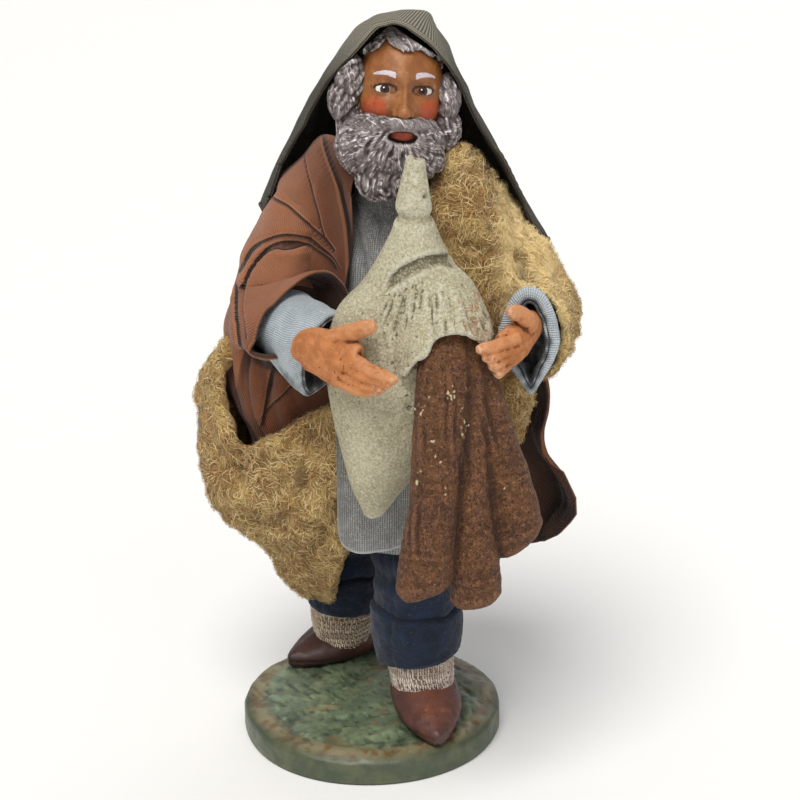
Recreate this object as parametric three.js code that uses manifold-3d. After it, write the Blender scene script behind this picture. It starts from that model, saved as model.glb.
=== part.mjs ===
// A nativity-scene figure: an old bagpiper with terracotta head, hands, shoes, bag and pipes,
// dressed in real cloth and fleece, on a round painted base.
// Millimetres, +Z up, the figure faces -Y, origin at the centre of the base's underside.
import * as THREE from "three";
import { mergeVertices } from "three/addons/utils/BufferGeometryUtils.js";
import Module from "manifold-3d";

const wasm = await Module();
wasm.setup();

// Driving sizes.
const baseDiameter = 75.4;
const baseThickness = 8.5;
const baseEdgeRadius = 2.6;
const groundRelief = 0.7; // height of the modelled turf
const figureHeight = 192; // from the top of the base to the crown of the hood
const clearance = 0.3; // between touching pieces
const clothThickness = 1.1;
const fleeceThickness = 4.5;
const cuffDepth = 8; // how deep the sleeve ends are hollow
const turnUpStep = 0.9; // how far the trouser turn-ups stand out

// The pose and the proportions are drawn on a grid that is this many parts tall.
const partsTall = 192;
const part = figureHeight / partsTall;
const degree = Math.PI / 180;

// A point of the pose: parts across, back and up, with the height counted from the base's top.
function at(x, y, z) {
  return new THREE.Vector3(x * part, y * part, baseThickness + z * part);
}

// Reads a table of rows [position, value, ...] at any position, smoothly.
function read(table, position, column) {
  const last = table.length - 1;
  const rising = table[last][0] > table[0][0];
  let i = 0;
  while (i < last - 1 && (rising ? position > table[i + 1][0] : position < table[i + 1][0])) i++;
  const [a, b] = [table[i], table[i + 1]];
  const share = THREE.MathUtils.clamp((position - a[0]) / (b[0] - a[0]), 0, 1);
  const before = table[Math.max(i - 1, 0)];
  const after = table[Math.min(i + 2, last)];
  const span = b[0] - a[0];
  const slopeA = ((b[column] - before[column]) / (b[0] - before[0])) * span;
  const slopeB = ((after[column] - a[column]) / (after[0] - a[0])) * span;
  const s2 = share * share;
  const s3 = s2 * share;
  return (
    (2 * s3 - 3 * s2 + 1) * a[column] +
    (s3 - 2 * s2 + share) * slopeA +
    (3 * s2 - 2 * s3) * b[column] +
    (s3 - s2) * slopeB
  );
}

// A closed skin over a stack of rings, each with the same number of points.
function skin(rings) {
  const sides = rings[0].length;
  const points = rings.flat();
  const index = [];
  for (let i = 0; i + 1 < rings.length; i++)
    for (let j = 0; j < sides; j++) {
      const a = i * sides + j;
      const b = i * sides + ((j + 1) % sides);
      index.push(a, b, b + sides, a, b + sides, a + sides);
    }
  const cap = (ring, first, upwards) => {
    const middle = points.length;
    const sum = ring.reduce((total, point) => total.add(point), new THREE.Vector3());
    points.push(sum.divideScalar(sides));
    for (let j = 0; j < sides; j++) {
      const a = first + j;
      const b = first + ((j + 1) % sides);
      index.push(middle, upwards ? a : b, upwards ? b : a);
    }
  };
  cap(rings[0], 0, false);
  cap(rings[rings.length - 1], (rings.length - 1) * sides, true);
  return new THREE.BufferGeometry().setFromPoints(points).setIndex(index);
}

// A manifold solid from a closed geometry.
function solid(geometry) {
  const bare = geometry.clone();
  bare.deleteAttribute("normal");
  bare.deleteAttribute("uv");
  const merged = mergeVertices(bare, 1e-4);
  const made = new wasm.Manifold(
    new wasm.Mesh({
      numProp: 3,
      vertProperties: merged.attributes.position.array,
      triVerts: new Uint32Array(merged.index.array),
    }),
  );
  return made;
}

const join = (...solids) => solids.reduce((all, next) => all.add(next));
const cut = (body, ...tools) => tools.reduce((rest, tool) => rest.subtract(tool), body);

// The main piece of a cut body, without the offcuts.
function mainPiece(body) {
  return body.decompose().sort((a, b) => b.volume() - a.volume())[0];
}

// A body along a path. Each station is [x, y, z, half width, half depth, turn in degrees].
// grow makes it larger all round, for cutting room into its neighbours.
function limb(stations, options = {}) {
  const { sides = 14, steps = 2, grow = 0, relief, floor } = options;
  const side = options.side || new THREE.Vector3(1, 0, 0);
  const path = new THREE.CatmullRomCurve3(
    stations.map(([x, y, z]) => at(x, y, z)),
    false,
    "catmullrom",
  );
  const sizes = new THREE.CatmullRomCurve3(
    stations.map(([, , , wide, deep, turn]) => new THREE.Vector3(wide, deep, turn || 0)),
    false,
    "catmullrom",
  );
  const count = (stations.length - 1) * steps;
  const rings = [];
  for (let i = 0; i <= count; i++) {
    const t = i / count;
    const along = path.getTangent(t);
    const middle = path.getPoint(t);
    if (i === 0) middle.addScaledVector(along, -grow);
    if (i === count) middle.addScaledVector(along, grow);
    const { x: wide, y: deep, z: turn } = sizes.getPoint(t);
    const across = side.clone().addScaledVector(along, -side.dot(along)).normalize();
    across.applyAxisAngle(along, turn * degree);
    const deepwards = along.clone().cross(across);
    const ring = [];
    for (let j = 0; j < sides; j++) {
      const angle = (j / sides) * 2 * Math.PI;
      const swell = 1 + (relief ? relief(angle, t) : 0);
      const point = middle
        .clone()
        .addScaledVector(across, (wide * part * swell + grow) * Math.cos(angle))
        .addScaledVector(deepwards, (deep * part * swell + grow) * Math.sin(angle));
      if (floor !== undefined) point.z = Math.max(point.z, floor - grow);
      ring.push(point);
    }
    rings.push(ring);
  }
  return solid(skin(rings));
}

// A rounded lump: centre, half sizes, and an optional relief read by the outward direction.
function lump([x, y, z], [wide, deep, tall], options = {}) {
  const { across = 14, up = 9, grow = 0, relief, turn = [0, 0, 0] } = options;
  const geometry = new THREE.SphereGeometry(1, across, up);
  const position = geometry.attributes.position;
  const out = new THREE.Vector3();
  const euler = new THREE.Euler(...turn.map((angle) => angle * degree));
  const centre = at(x, y, z);
  for (let i = 0; i < position.count; i++) {
    out.fromBufferAttribute(position, i);
    const swell = 1 + (relief ? relief(out) : 0);
    out.set(
      out.x * (wide * part * swell + grow),
      out.y * (deep * part * swell + grow),
      out.z * (tall * part * swell + grow),
    );
    out.applyEuler(euler).add(centre);
    position.setXYZ(i, out.x, out.y, out.z);
  }
  return solid(geometry);
}

// A cloth of even thickness over a grid of points, closed round its edges.
function cloth(rows, thickness, grow = 0) {
  const high = rows.length;
  const wide = rows[0].length;
  const point = (i, j) =>
    rows[THREE.MathUtils.clamp(i, 0, high - 1)][THREE.MathUtils.clamp(j, 0, wide - 1)];
  const outer = [];
  const inner = [];
  const half = thickness / 2 + grow;
  for (let i = 0; i < high; i++)
    for (let j = 0; j < wide; j++) {
      const along = point(i, j + 1).clone().sub(point(i, j - 1)).normalize();
      const up = point(i + 1, j).clone().sub(point(i - 1, j)).normalize();
      const out = along.clone().cross(up).normalize();
      const middle = point(i, j).clone();
      if (j === 0) middle.addScaledVector(along, -grow);
      if (j === wide - 1) middle.addScaledVector(along, grow);
      if (i === 0) middle.addScaledVector(up, -grow);
      if (i === high - 1) middle.addScaledVector(up, grow);
      outer.push(middle.clone().addScaledVector(out, half));
      inner.push(middle.clone().addScaledVector(out, -half));
    }
  const index = [];
  const back = outer.length;
  const quad = (a, b, c, d) => index.push(a, b, c, a, c, d);
  for (let i = 0; i + 1 < high; i++)
    for (let j = 0; j + 1 < wide; j++) {
      const a = i * wide + j;
      quad(a, a + 1, a + wide + 1, a + wide);
      quad(back + a, back + a + wide, back + a + wide + 1, back + a + 1);
    }
  const rim = [];
  for (let j = 0; j + 1 < wide; j++) rim.push(j);
  for (let i = 0; i + 1 < high; i++) rim.push(i * wide + wide - 1);
  for (let j = wide - 1; j > 0; j--) rim.push((high - 1) * wide + j);
  for (let i = high - 1; i > 0; i--) rim.push(i * wide);
  rim.forEach((a, k) => {
    const b = rim[(k + 1) % rim.length];
    quad(b, a, back + a, back + b);
  });
  return solid(new THREE.BufferGeometry().setFromPoints([...outer, ...inner]).setIndex(index));
}

// The grid of a garment that hangs round the body. girth rows are
// [height, centre x, centre y, half width, half depth]; edges rows are [angle, lower, upper].
function hanging(girth, edges, columns, rows, fold) {
  const first = edges[0][0];
  const last = edges[edges.length - 1][0];
  const grid = [];
  for (let i = 0; i <= rows; i++) {
    const line = [];
    for (let j = 0; j <= columns; j++) {
      const angle = first + ((last - first) * j) / columns;
      const low = read(edges, angle, 1);
      const top = read(edges, angle, 2);
      const height = low + ((top - low) * i) / rows;
      const [x, y, wide, deep] = [1, 2, 3, 4].map((column) => read(girth, height, column));
      const out = fold(angle, height, i / rows);
      line.push(
        at(
          x + (wide + out) * Math.cos(angle * degree),
          y + (deep + out) * Math.sin(angle * degree),
          height,
        ),
      );
    }
    grid.push(line);
  }
  return grid;
}

// A grid of points over a few lines of points, smooth both ways.
function draped(lines, columns, rows) {
  const smooth = (points) => new THREE.CatmullRomCurve3(points, false, "catmullrom");
  const across = lines.map((line) => smooth(line.map((p) => at(...p))).getPoints(columns));
  const grid = Array.from({ length: rows + 1 }, () => []);
  for (let j = 0; j <= columns; j++) {
    const down = smooth(across.map((line) => line[j])).getPoints(rows);
    down.forEach((point, i) => grid[i].push(point));
  }
  return grid;
}

// The base: a disc with a rounded upper edge and modelled turf.
function base() {
  const radius = baseDiameter / 2;
  const edge = baseThickness - baseEdgeRadius;
  const profile = [new THREE.Vector2(0, 0), new THREE.Vector2(radius, 0)];
  for (let i = 0; i <= 3; i++) {
    const angle = (i / 3) * (Math.PI / 2);
    const inset = radius - baseEdgeRadius * (1 - Math.cos(angle));
    profile.push(new THREE.Vector2(inset, edge + baseEdgeRadius * Math.sin(angle)));
  }
  for (const share of [0.6, 0])
    profile.push(new THREE.Vector2(radius * share, baseThickness));
  const geometry = new THREE.LatheGeometry(profile, 28).rotateX(Math.PI / 2);
  const position = geometry.attributes.position;
  for (let i = 0; i < position.count; i++) {
    const [x, y, z] = [position.getX(i), position.getY(i), position.getZ(i)];
    if (z < edge) continue;
    const turf = Math.sin(x * 0.31 + 1) * Math.sin(y * 0.37) + Math.sin(x * 0.17 - y * 0.23);
    const rise = (z - edge) / baseEdgeRadius;
    position.setZ(i, z - groundRelief * rise * (0.5 + 0.25 * turf));
  }
  return solid(geometry);
}

// A shoe from heel to toe, flat below. Rows are [along, half width, height], along the foot.
const shoeProfile = [
  [0, 3.6, 7.5],
  [3, 7.2, 10.8],
  [9, 9.2, 12.2],
  [16, 9.7, 11],
  [23, 8.7, 8.6],
  [29.5, 6, 6.4],
  [34, 2.9, 4.4],
  [35.6, 0.9, 3.2],
];
const leftFoot = { toe: [18.4, -31.3], heading: 278 };
const rightFoot = { toe: [-24.8, 15.6], heading: 217 };
function shoe({ toe, heading }, grow = 0) {
  const length = shoeProfile[shoeProfile.length - 1][0];
  const forwards = [Math.cos(heading * degree), Math.sin(heading * degree)];
  const stations = shoeProfile.map(([along, wide, tall]) => {
    const back = length - along;
    const x = toe[0] - forwards[0] * back;
    const y = toe[1] - forwards[1] * back;
    return [x, y, tall * 0.42, wide, tall * 0.58];
  });
  const side = new THREE.Vector3(-forwards[1], forwards[0], 0);
  return limb(stations, { side, grow, floor: baseThickness + clearance, sides: 10, steps: 1 });
}

// Socks and trouser legs, from the ankle up.
const leftAnkle = [14.6, -8.5];
const rightAnkle = [-9.4, 25];
function sock([x, y], lean, grow = 0) {
  const stations = [
    [x, y, 3, 7.4, 7.6],
    [x, y, 8.5, 8.6, 8.8],
    [x + lean[0] * 0.3, y + lean[1] * 0.3, 13, 9, 9.1],
    [x + lean[0] * 0.6, y + lean[1] * 0.6, 17.5, 9.4, 9.4],
    [x + lean[0], y + lean[1], 24, 9.2, 9.2],
  ];
  return limb(stations, { sides: 10, steps: 1, grow });
}
const leftLean = [-1.6, 0.8];
const rightLean = [0.6, -3];

function trouserLeg(stations, grow) {
  return limb(stations, { sides: 12, steps: 1, grow });
}
function trousers(grow = 0) {
  const step = turnUpStep / part;
  const left = [
    [13.4, -7.8, 17.4, 10.6, 10.6],
    [13.2, -7.8, 18.4, 11.5, 11.5],
    [12.9, -7.8, 25, 12.3 + step, 12.3 + step],
    [12.7, -7.8, 31.6, 12.2 + step, 12.2 + step],
    [12.7, -7.8, 32.6, 12.2, 12.2],
    [12.4, -7.4, 44, 12, 11.8],
    [7.6, -2, 60, 11, 11],
  ];
  const right = [
    [-8.6, 22.2, 18.6, 10, 10],
    [-8.5, 22.1, 19.6, 10.8, 10.8],
    [-8.3, 21, 25, 11.2 + step, 11.2 + step],
    [-8.1, 19.8, 30, 11.2 + step, 11.2 + step],
    [-8, 19.6, 31, 11.2, 11.2],
    [-6.4, 16.4, 43, 11.4, 11.4],
    [-0.6, 7, 60, 11, 11],
  ];
  return join(trouserLeg(left, grow), trouserLeg(right, grow));
}

// The shirt: a loose body with a soft hem, and the two sleeve ends.
const shirtBody = [
  [4.6, 2.2, 51.8, 22.4, 22.4],
  [5.2, 1.6, 60, 21.2, 21.2],
  [6.5, 0.5, 76, 19.4, 19.6],
  [7.5, 0.5, 94, 18.2, 18.8],
  [8, 0.5, 112, 19, 17],
  [8, 0, 130, 19, 14.6],
  [7.6, -1, 141, 15, 11.8],
  [6.8, -2.4, 148, 10.6, 9.6],
  [6.4, -3.6, 153.4, 8.2, 8.4],
];
const rightSleeve = [
  [-8, 0, 138, 6, 6],
  [-17, -1, 134, 7, 7.4],
  [-22, -3.6, 124, 8, 8.6],
  [-23.2, -10, 115, 9.4, 10],
  [-20.4, -18, 112.8, 9.8, 10.6, -8],
  [-16.4, -25.6, 112, 9.2, 11.4, -18],
  [-10.2, -33.6, 110.6, 7.6, 11.2, -30],
];
const leftSleeve = [
  [21, 0, 136.4, 5.2, 5.8],
  [36.6, -1.6, 126, 6.2, 6.6],
  [42.4, -5, 114.6, 7.2, 8],
  [42.6, -14, 111.6, 6.8, 10],
  [41.4, -25, 113.2, 7, 12, 6],
  [39.4, -36.8, 115.6, 7.4, 13.4, 9],
];
// Egg-shaped sleeve mouths: fuller above, pinched below.
const pinch = (amount) => (angle) => -amount * Math.max(0, -Math.sin(angle)) * Math.abs(Math.cos(angle));
const sleeveOptions = { sides: 10, steps: 1 };
function sleeve(stations, amount, grow = 0) {
  return limb(stations, { ...sleeveOptions, relief: pinch(amount), grow });
}
function sleeveHollow(stations, amount) {
  const [last, before] = [stations[stations.length - 1], stations[stations.length - 2]];
  const out = new THREE.Vector3(...last.slice(0, 3)).sub(new THREE.Vector3(...before.slice(0, 3)));
  out.normalize();
  const wall = clothThickness / part;
  const depth = cuffDepth / part;
  const inside = [-depth, -depth / 2, 0.4 * depth].map((along) => [
    last[0] + out.x * along,
    last[1] + out.y * along,
    last[2] + out.z * along,
    last[3] - wall,
    last[4] - wall,
    last[5],
  ]);
  return limb(inside, { ...sleeveOptions, steps: 1, relief: pinch(amount) });
}
const hemWave = (angle, t) => 0.03 * Math.sin(3 * angle + 1) * (1 - t) ** 2;
const shirtBodySolid = (grow) => limb(shirtBody, { sides: 14, steps: 1, relief: hemWave, grow });
function shirt(grow = 0) {
  const sleeves = [sleeve(rightSleeve, 0.3, grow), sleeve(leftSleeve, 0.55, grow)];
  return join(shirtBodySolid(grow), ...sleeves);
}

// A hand: a palm, four fingers side by side and a thumb.
function hand({ palm, fingers, thumb }, grow = 0) {
  const options = { side: new THREE.Vector3(0, 0, 1), grow };
  const parts = [limb(palm, { ...options, sides: 8, steps: 1 })];
  for (const finger of fingers) parts.push(limb(finger, { ...options, sides: 6, steps: 1 }));
  parts.push(limb(thumb, { ...options, sides: 7, steps: 1 }));
  return join(...parts);
}
// Four fingers between an upper one and a lower one, each [root, tip], drawn in towards the palm.
function fingersBetween([rootA, tipA], [rootB, tipB], bow, radius) {
  return [0, 1, 2, 3].map((i) => {
    const share = i / 3;
    const mix = (a, b) => a.map((value, axis) => value + (b[axis] - value) * share);
    const root = mix(rootA, rootB);
    const tip = mix(tipA, tipB);
    const middle = root.map((value, axis) => (value + tip[axis]) / 2 + bow[axis]);
    const thin = radius * (i === 3 ? 0.88 : 1);
    return [
      [...root, thin, thin],
      [...middle, thin, thin],
      [...tip, thin * 0.62, thin * 0.62],
    ];
  });
}
const rightHand = {
  palm: [
    [-14.6, -34.6, 112.6, 5.4, 3.6],
    [-11, -38.6, 112.8, 6, 3.9],
    [-6.4, -43, 112, 7, 4],
    [-1.6, -45.8, 110.6, 5.6, 3.2],
  ],
  fingers: fingersBetween(
    [[-2.8, -46, 113.8], [7.9, -49.6, 108.4]],
    [[-5.4, -44.6, 107.2], [3.4, -48.4, 105.6]],
    [0, -1.2, -0.7],
    1.9,
  ),
  thumb: [
    [-8.6, -41.6, 116.6, 2.6, 2.6],
    [-3, -44.8, 119.6, 2.4, 2.3],
    [2.5, -47, 121.9, 1.6, 1.5],
  ],
};
const leftHand = {
  palm: [
    [41.8, -32.5, 116.6, 4.6, 3.4],
    [41, -37, 116.8, 5, 3.6],
    [39.2, -42, 116.4, 7.2, 3.6],
    [35.4, -46.4, 115.2, 6.6, 2.9],
  ],
  fingers: fingersBetween(
    [[36.6, -45, 119.4], [26.8, -49.6, 118.2]],
    [[36.4, -44.6, 111.6], [31.6, -48.6, 109.9]],
    [-0.8, -2, -0.3],
    1.95,
  ),
  thumb: [
    [40.4, -41.4, 120.4, 2.6, 2.4],
    [38.4, -44, 124, 2.3, 2.2],
    [34.2, -46, 126, 1.7, 1.6],
  ],
};

// The bagpipe's bag with its mouthpiece, and the fringed collar that the pipes come out of.
const bagBody = [
  [0.6, -29.5, 65.8, 1.2, 1.2],
  [1.2, -29.8, 69, 4, 4.2],
  [2.4, -30.4, 77, 8.6, 7.6],
  [4.4, -31, 88, 14, 10],
  [7.2, -31.4, 100, 18.4, 11.4],
  [9.6, -31.8, 112, 19.6, 11.6],
  [11, -32.6, 121, 18, 10.6],
  [11.6, -34, 129, 12.6, 9.2],
  [11.6, -36, 138, 7.8, 7],
  [11.6, -37.4, 144.4, 4.8, 4.8],
  [11.6, -37.8, 146, 3.6, 3.6],
  [11.6, -38, 147.2, 3.8, 3.8],
];
const mouthpiece = [
  [11.6, -38, 146.6, 3.7, 3.7],
  [11.5, -38.1, 148.4, 4.5, 4.5],
  [11.5, -38.2, 150, 4.4, 4.4],
  [12, -38.8, 160.4, 2.5, 2.5],
];
const collar = [
  [12.4, -33.6, 131, 6.5, 6],
  [16, -36.6, 125.4, 10.6, 8.4],
  [18, -39.4, 119.6, 11.8, 9.6],
  [19, -41, 115, 12, 9.4],
];
const collarGrooves = (angle, t) => -0.05 * t * (0.5 + 0.5 * Math.cos(6 * angle));
function bag(grow = 0) {
  return join(
    limb(bagBody, { sides: 14, steps: 1, grow }),
    limb(mouthpiece, { sides: 10, steps: 1, grow }),
    limb(collar, { sides: 18, steps: 1, grow, relief: collarGrooves }),
  );
}
// The curved slot over the collar, and the notch in the mouthpiece's tip.
function bagCuts() {
  const slot = [
    [4.6, -40.6, 130.2, 1, 2.4],
    [8, -42.4, 134.2, 1.1, 2.6],
    [14.1, -42.8, 136.2, 1.1, 2.6],
    [18.2, -40.8, 136.2, 1.1, 2.6],
    [21.4, -37.4, 134.8, 1, 2.4],
  ];
  const notch = [
    [12.2, -45, 160.6, 0.9, 0.9],
    [12.2, -32, 160.6, 0.9, 0.9],
  ];
  return [
    limb(slot, { side: new THREE.Vector3(0, 0, 1), sides: 6, steps: 1 }),
    limb(notch, { sides: 6, steps: 1 }),
  ];
}

// The pipes: a fan of three flared pipes moulded together at the top.
const pipeFan = [
  [
    [19.4, -41.6, 119, 5.4, 5],
    [18.6, -45.4, 112, 6.6, 5.4],
    [17.6, -48, 94, 7, 5.6],
    [16.2, -49.6, 76, 6.8, 5.6],
    [14.6, -51, 62, 7.6, 6],
    [13.8, -51.6, 56, 6.6, 5],
    [13.9, -51.8, 53.6, 3.8, 3],
  ],
  [
    [22, -41.2, 119, 4.8, 4.6],
    [24, -43.4, 108, 5, 4.6],
    [25.4, -44.8, 84, 5.2, 4.8],
    [26.8, -46, 62, 6.6, 5.6],
    [27.4, -46.4, 52, 6.4, 5.2],
    [27.6, -46.5, 48.8, 3.8, 3],
  ],
  [
    [23.4, -40.6, 119, 5, 4.8],
    [26.6, -41, 107, 5.8, 5],
    [31.4, -41.4, 90, 6.6, 5.2],
    [36.2, -41.6, 75, 7.4, 5.4],
    [38.2, -41.6, 68.6, 6.2, 4.8],
    [38.8, -41.6, 66, 3.6, 2.8],
  ],
];
function pipes(grow = 0) {
  return join(...pipeFan.map((stations) => limb(stations, { sides: 10, steps: 1, grow })));
}

// The head, with its neck, hair and full beard.
const locks = (count, depth) => (out) => {
  const angle = Math.atan2(out.x, -out.y);
  return depth * Math.sin(count * angle + 2.5 * out.z) * Math.sqrt(1 - out.z * out.z);
};
const hairline = [
  [-4.2, -7, 159, 3.4, 5],
  [-3.8, -8, 167.4, 3.2, 5],
  [-5, -8.4, 175.4, 4.4, 5],
  [-0.6, -10, 181, 2.8, 3.8],
  [7.4, -12.4, 185.4, 2.3, 3.2],
  [14.6, -10.4, 181, 2.2, 3.8],
  [19.2, -8, 174.4, 2.6, 4.8],
  [19.8, -7.6, 167, 2.2, 4.8],
  [19.2, -7, 159, 2.8, 4.8],
];
const moustache = [
  [-6.4, -16, 163.4, 1.7, 1.6],
  [-1.6, -20.6, 167.2, 2.7, 2.4],
  [4.6, -23, 168.2, 2.9, 2.7],
  [8.2, -23.4, 167.2, 2.3, 2.4],
  [11.8, -22.8, 168, 2.9, 2.7],
  [16, -19.8, 166.6, 2.5, 2.2],
  [19.6, -15.6, 163, 1.6, 1.5],
];
function head(grow = 0) {
  const tilt = [0, 4, 6];
  const up = new THREE.Vector3(0, 0, 1);
  const back = new THREE.Vector3(0, 1, 0);
  const beard = { across: 14, up: 7, turn: tilt, relief: locks(5, 0.05) };
  return join(
    lump([8, -4.8, 172.4], [11.4, 13.6, 17], { across: 12, up: 9, grow, turn: tilt }),
    lump([8.3, -19, 171.6], [2.1, 3.8, 2.4], { across: 8, up: 6, grow, turn: [34, 0, 6] }),
    lump([8.2, -16, 178], [8.4, 2.6, 1.8], { across: 8, up: 6, grow, turn: tilt }),
    lump([5.6, -12.6, 158.2], [14.4, 9.8, 11], { ...beard, grow }),
    limb([[6.6, -3.4, 149, 6, 6.2], [7, -3.4, 160, 6.2, 6.6]], { sides: 10, steps: 1, grow }),
    limb(hairline, { side: back, sides: 6, steps: 1, grow }),
    limb(moustache, { side: up, sides: 5, steps: 1, grow }),
  );
}

// The hood: a kerchief over the crown.
// Lines over the head from ear to ear, the front hem first and the back hem last.
const hoodLines = [
  [
    [-28, 0.5, 141.5],
    [-17.4, -5, 163],
    [-6.6, -11, 179.4],
    [6, -16.4, 190],
    [18.4, -13, 182],
    [29, -6, 164],
    [46.8, 2.5, 132.6],
  ],
  [
    [-28.6, 7, 141],
    [-19.4, 3, 162.4],
    [-8.6, -1, 182.6],
    [8.6, -3, 191.6],
    [20, -1, 182.6],
    [31, 1, 164],
    [48, 8, 131.6],
  ],
  [
    [-27.4, 16, 134.6],
    [-17.6, 15, 156.6],
    [-7, 15.6, 173],
    [8.4, 15.4, 180],
    [21.6, 15.4, 173],
    [32.4, 15, 156.4],
    [46.6, 15, 129.6],
  ],
  [
    [-24.4, 25, 125.6],
    [-17.6, 29, 123.6],
    [-6, 31.4, 121.6],
    [8.5, 32.4, 120.6],
    [23, 31.4, 121.6],
    [35, 28.6, 123.6],
    [43.4, 25, 126.6],
  ],
];
function hood(grow = 0) {
  const [columns, rows] = [14, 6];
  const grid = draped(hoodLines, columns, rows);
  grid.forEach((row, i) =>
    row.forEach((point, j) => {
      const wave = Math.sin((j / columns) * 6 * Math.PI + 0.6);
      point.y += 0.9 * part * wave * (i / rows) ** 2;
    }),
  );
  return cloth(grid, clothThickness, grow);
}

// The coat: a long back and right front, open at the left, and a wide pushed-up right sleeve.
const coatGirth = [
  [12, 9, 10, 29, 24],
  [30, 10, 9.8, 32, 22.8],
  [42, 13, 9, 39, 20.8],
  [47, 13.6, 8.7, 41.6, 20],
  [54, 13.6, 8.2, 43.8, 19.6],
  [64, 10, 7, 42, 18.8],
  [74, 5.6, 6.4, 39.8, 18],
  [93, 1.4, 5, 40.6, 18],
  [110, 1.4, 4, 40.4, 18],
  [130, 3, 3, 32.6, 17.6],
  [143, 2.6, 1.6, 27.6, 15.6],
  [149, 2, 0.8, 25.4, 14.4],
  [155, 3, -0.6, 20, 12.6],
  [160, 3.6, -2, 16.2, 11],
  [163, 5, -2.8, 12.6, 10],
];
const coatEdges = [
  [256, 88, 158],
  [240, 80, 160],
  [222, 72, 161],
  [190, 62, 161],
  [140, 56, 157],
  [118, 50, 157],
  [102, 30, 157],
  [84, 13, 157],
  [62, 13, 157],
  [50, 15, 156],
  [42, 24, 155],
  [34, 38, 154],
  [22, 43.6, 153],
  [12, 51, 151],
];
const coatFold = (angle, height, up) => {
  const wave = Math.sin(angle * 0.12 + 0.7) + 0.5 * Math.sin(angle * 0.18 - height * 0.02);
  return 1.4 * wave * (1 - up) ** 0.7;
};
const coatSleeve = [
  [-11.6, 0, 146.4, 8, 8.6],
  [-18.4, -1, 138, 10.4, 11],
  [-22.6, -3, 126, 11.4, 12.4],
  [-25, -8, 115, 12.8, 13.6],
  [-21.6, -17, 112.6, 13.8, 13, -8],
  [-17, -23.6, 113.2, 13.4, 12.6, -14],
];
const sleeveFolds = (angle, t) => {
  const crease = Math.cos(2 * Math.PI * (2.5 * t - 0.1 * Math.sin(angle)));
  return 0.05 * crease * THREE.MathUtils.smoothstep(t, 0.3, 0.7);
};
function coat(grow = 0) {
  const grid = hanging(coatGirth, coatEdges, 22, 6, coatFold);
  const arm = limb(coatSleeve, { sides: 10, steps: 2, relief: sleeveFolds, grow });
  return join(cloth(grid, clothThickness, grow), arm);
}
// The room inside a sleeve, open at its mouth.
function sleeveRoom(stations, wall) {
  const inside = stations.map(([x, y, z, wide, deep, turn]) => [
    x,
    y,
    z,
    wide - wall,
    deep - wall,
    turn,
  ]);
  const [before, mouth] = inside.slice(-2);
  inside.push(mouth.map((value, i) => (i < 3 ? 1.5 * value - 0.5 * before[i] : value)));
  return limb(inside, { sides: 10, steps: 1 });
}

// The fleece: over the left shoulder and arm, across the back and round the right hip.
const fleeceGirth = [
  [27, -8.5, 15, 9, 13],
  [34, -8, 12.5, 18.5, 18],
  [46.5, -6, 9, 27, 22.4],
  [55.5, -5.5, 7.2, 36.8, 25],
  [63, -2.5, 6, 43.6, 27],
  [80, 1.2, 5, 49.2, 27.6],
  [96, 1.4, 4.8, 48, 27.6],
  [103, 3, 4.6, 46, 27.2],
  [125, 5, 4, 39, 25.4],
  [140, 6, 3.2, 33.6, 22.6],
  [152, 6, 1, 26.4, 17.4],
  [160, 6, -1.4, 19, 13],
];
const fleeceEdges = [
  [270, 38, 101],
  [262, 32.5, 98],
  [248, 28, 92],
  [226, 27, 80],
  [206, 29, 88],
  [190, 31.5, 101],
  [165, 36, 112],
  [135, 43, 122],
  [90, 58, 130],
  [55, 72, 137],
  [25, 85, 148],
  [0, 92, 155],
  [-22, 95, 154],
  [-62, 88, 146],
];
const fleeceLumps = (angle, height) => {
  const broad = Math.sin(angle * 0.087 + height * 0.06);
  const fine = Math.sin(angle * 0.15 - height * 0.09 + 2);
  return -fleeceThickness / 2 / part + 0.8 * broad + 0.5 * fine;
};
const fleeceSleeve = [
  [27, 0, 138, 9, 9.5],
  [37, -1, 126.5, 11, 11.5],
  [43.8, -3, 113, 12.6, 13],
  [43.8, -12, 109, 12.2, 14.4],
  [42.2, -24, 111.4, 10, 14.2],
  [40.4, -32, 113.8, 9.6, 14],
];
const fleeceChest = [
  [21, -4, 156, 5, 5.6],
  [24, -9.4, 147, 8.6, 7.4],
  [28, -13.4, 132, 11, 8],
  [31, -14.6, 116, 11, 8],
  [34.6, -14, 100, 9, 7],
  [37, -12, 86, 7, 5],
];
const woolly = (angle, t) => 0.05 * Math.sin(3 * angle + 8 * t);
function fleece(grow = 0) {
  const grid = hanging(fleeceGirth, fleeceEdges, 22, 5, fleeceLumps);
  return join(
    cloth(grid, fleeceThickness, grow),
    limb(fleeceSleeve, { sides: 10, steps: 1, relief: woolly, grow }),
    limb(fleeceChest, { sides: 10, steps: 1, relief: woolly, grow }),
  );
}

// The pieces, each cut clear of those that it meets.
const room = clearance;
const [shoeLeft, shoeRight] = [shoe(leftFoot), shoe(rightFoot)];
const shoesRoom = join(shoe(leftFoot, room), shoe(rightFoot, room));
const sockLeft = cut(sock(leftAnkle, leftLean), shoe(leftFoot, room));
const sockRight = cut(sock(rightAnkle, rightLean), shoe(rightFoot, room));
const socksRoom = join(sock(leftAnkle, leftLean, room), sock(rightAnkle, rightLean, room));
const handsRoom = join(hand(rightHand, room), hand(leftHand, room));
const headRoom = head(room);
const pipesRoom = pipes(room);
const hardRoom = join(headRoom, handsRoom, bag(room), pipesRoom);

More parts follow.
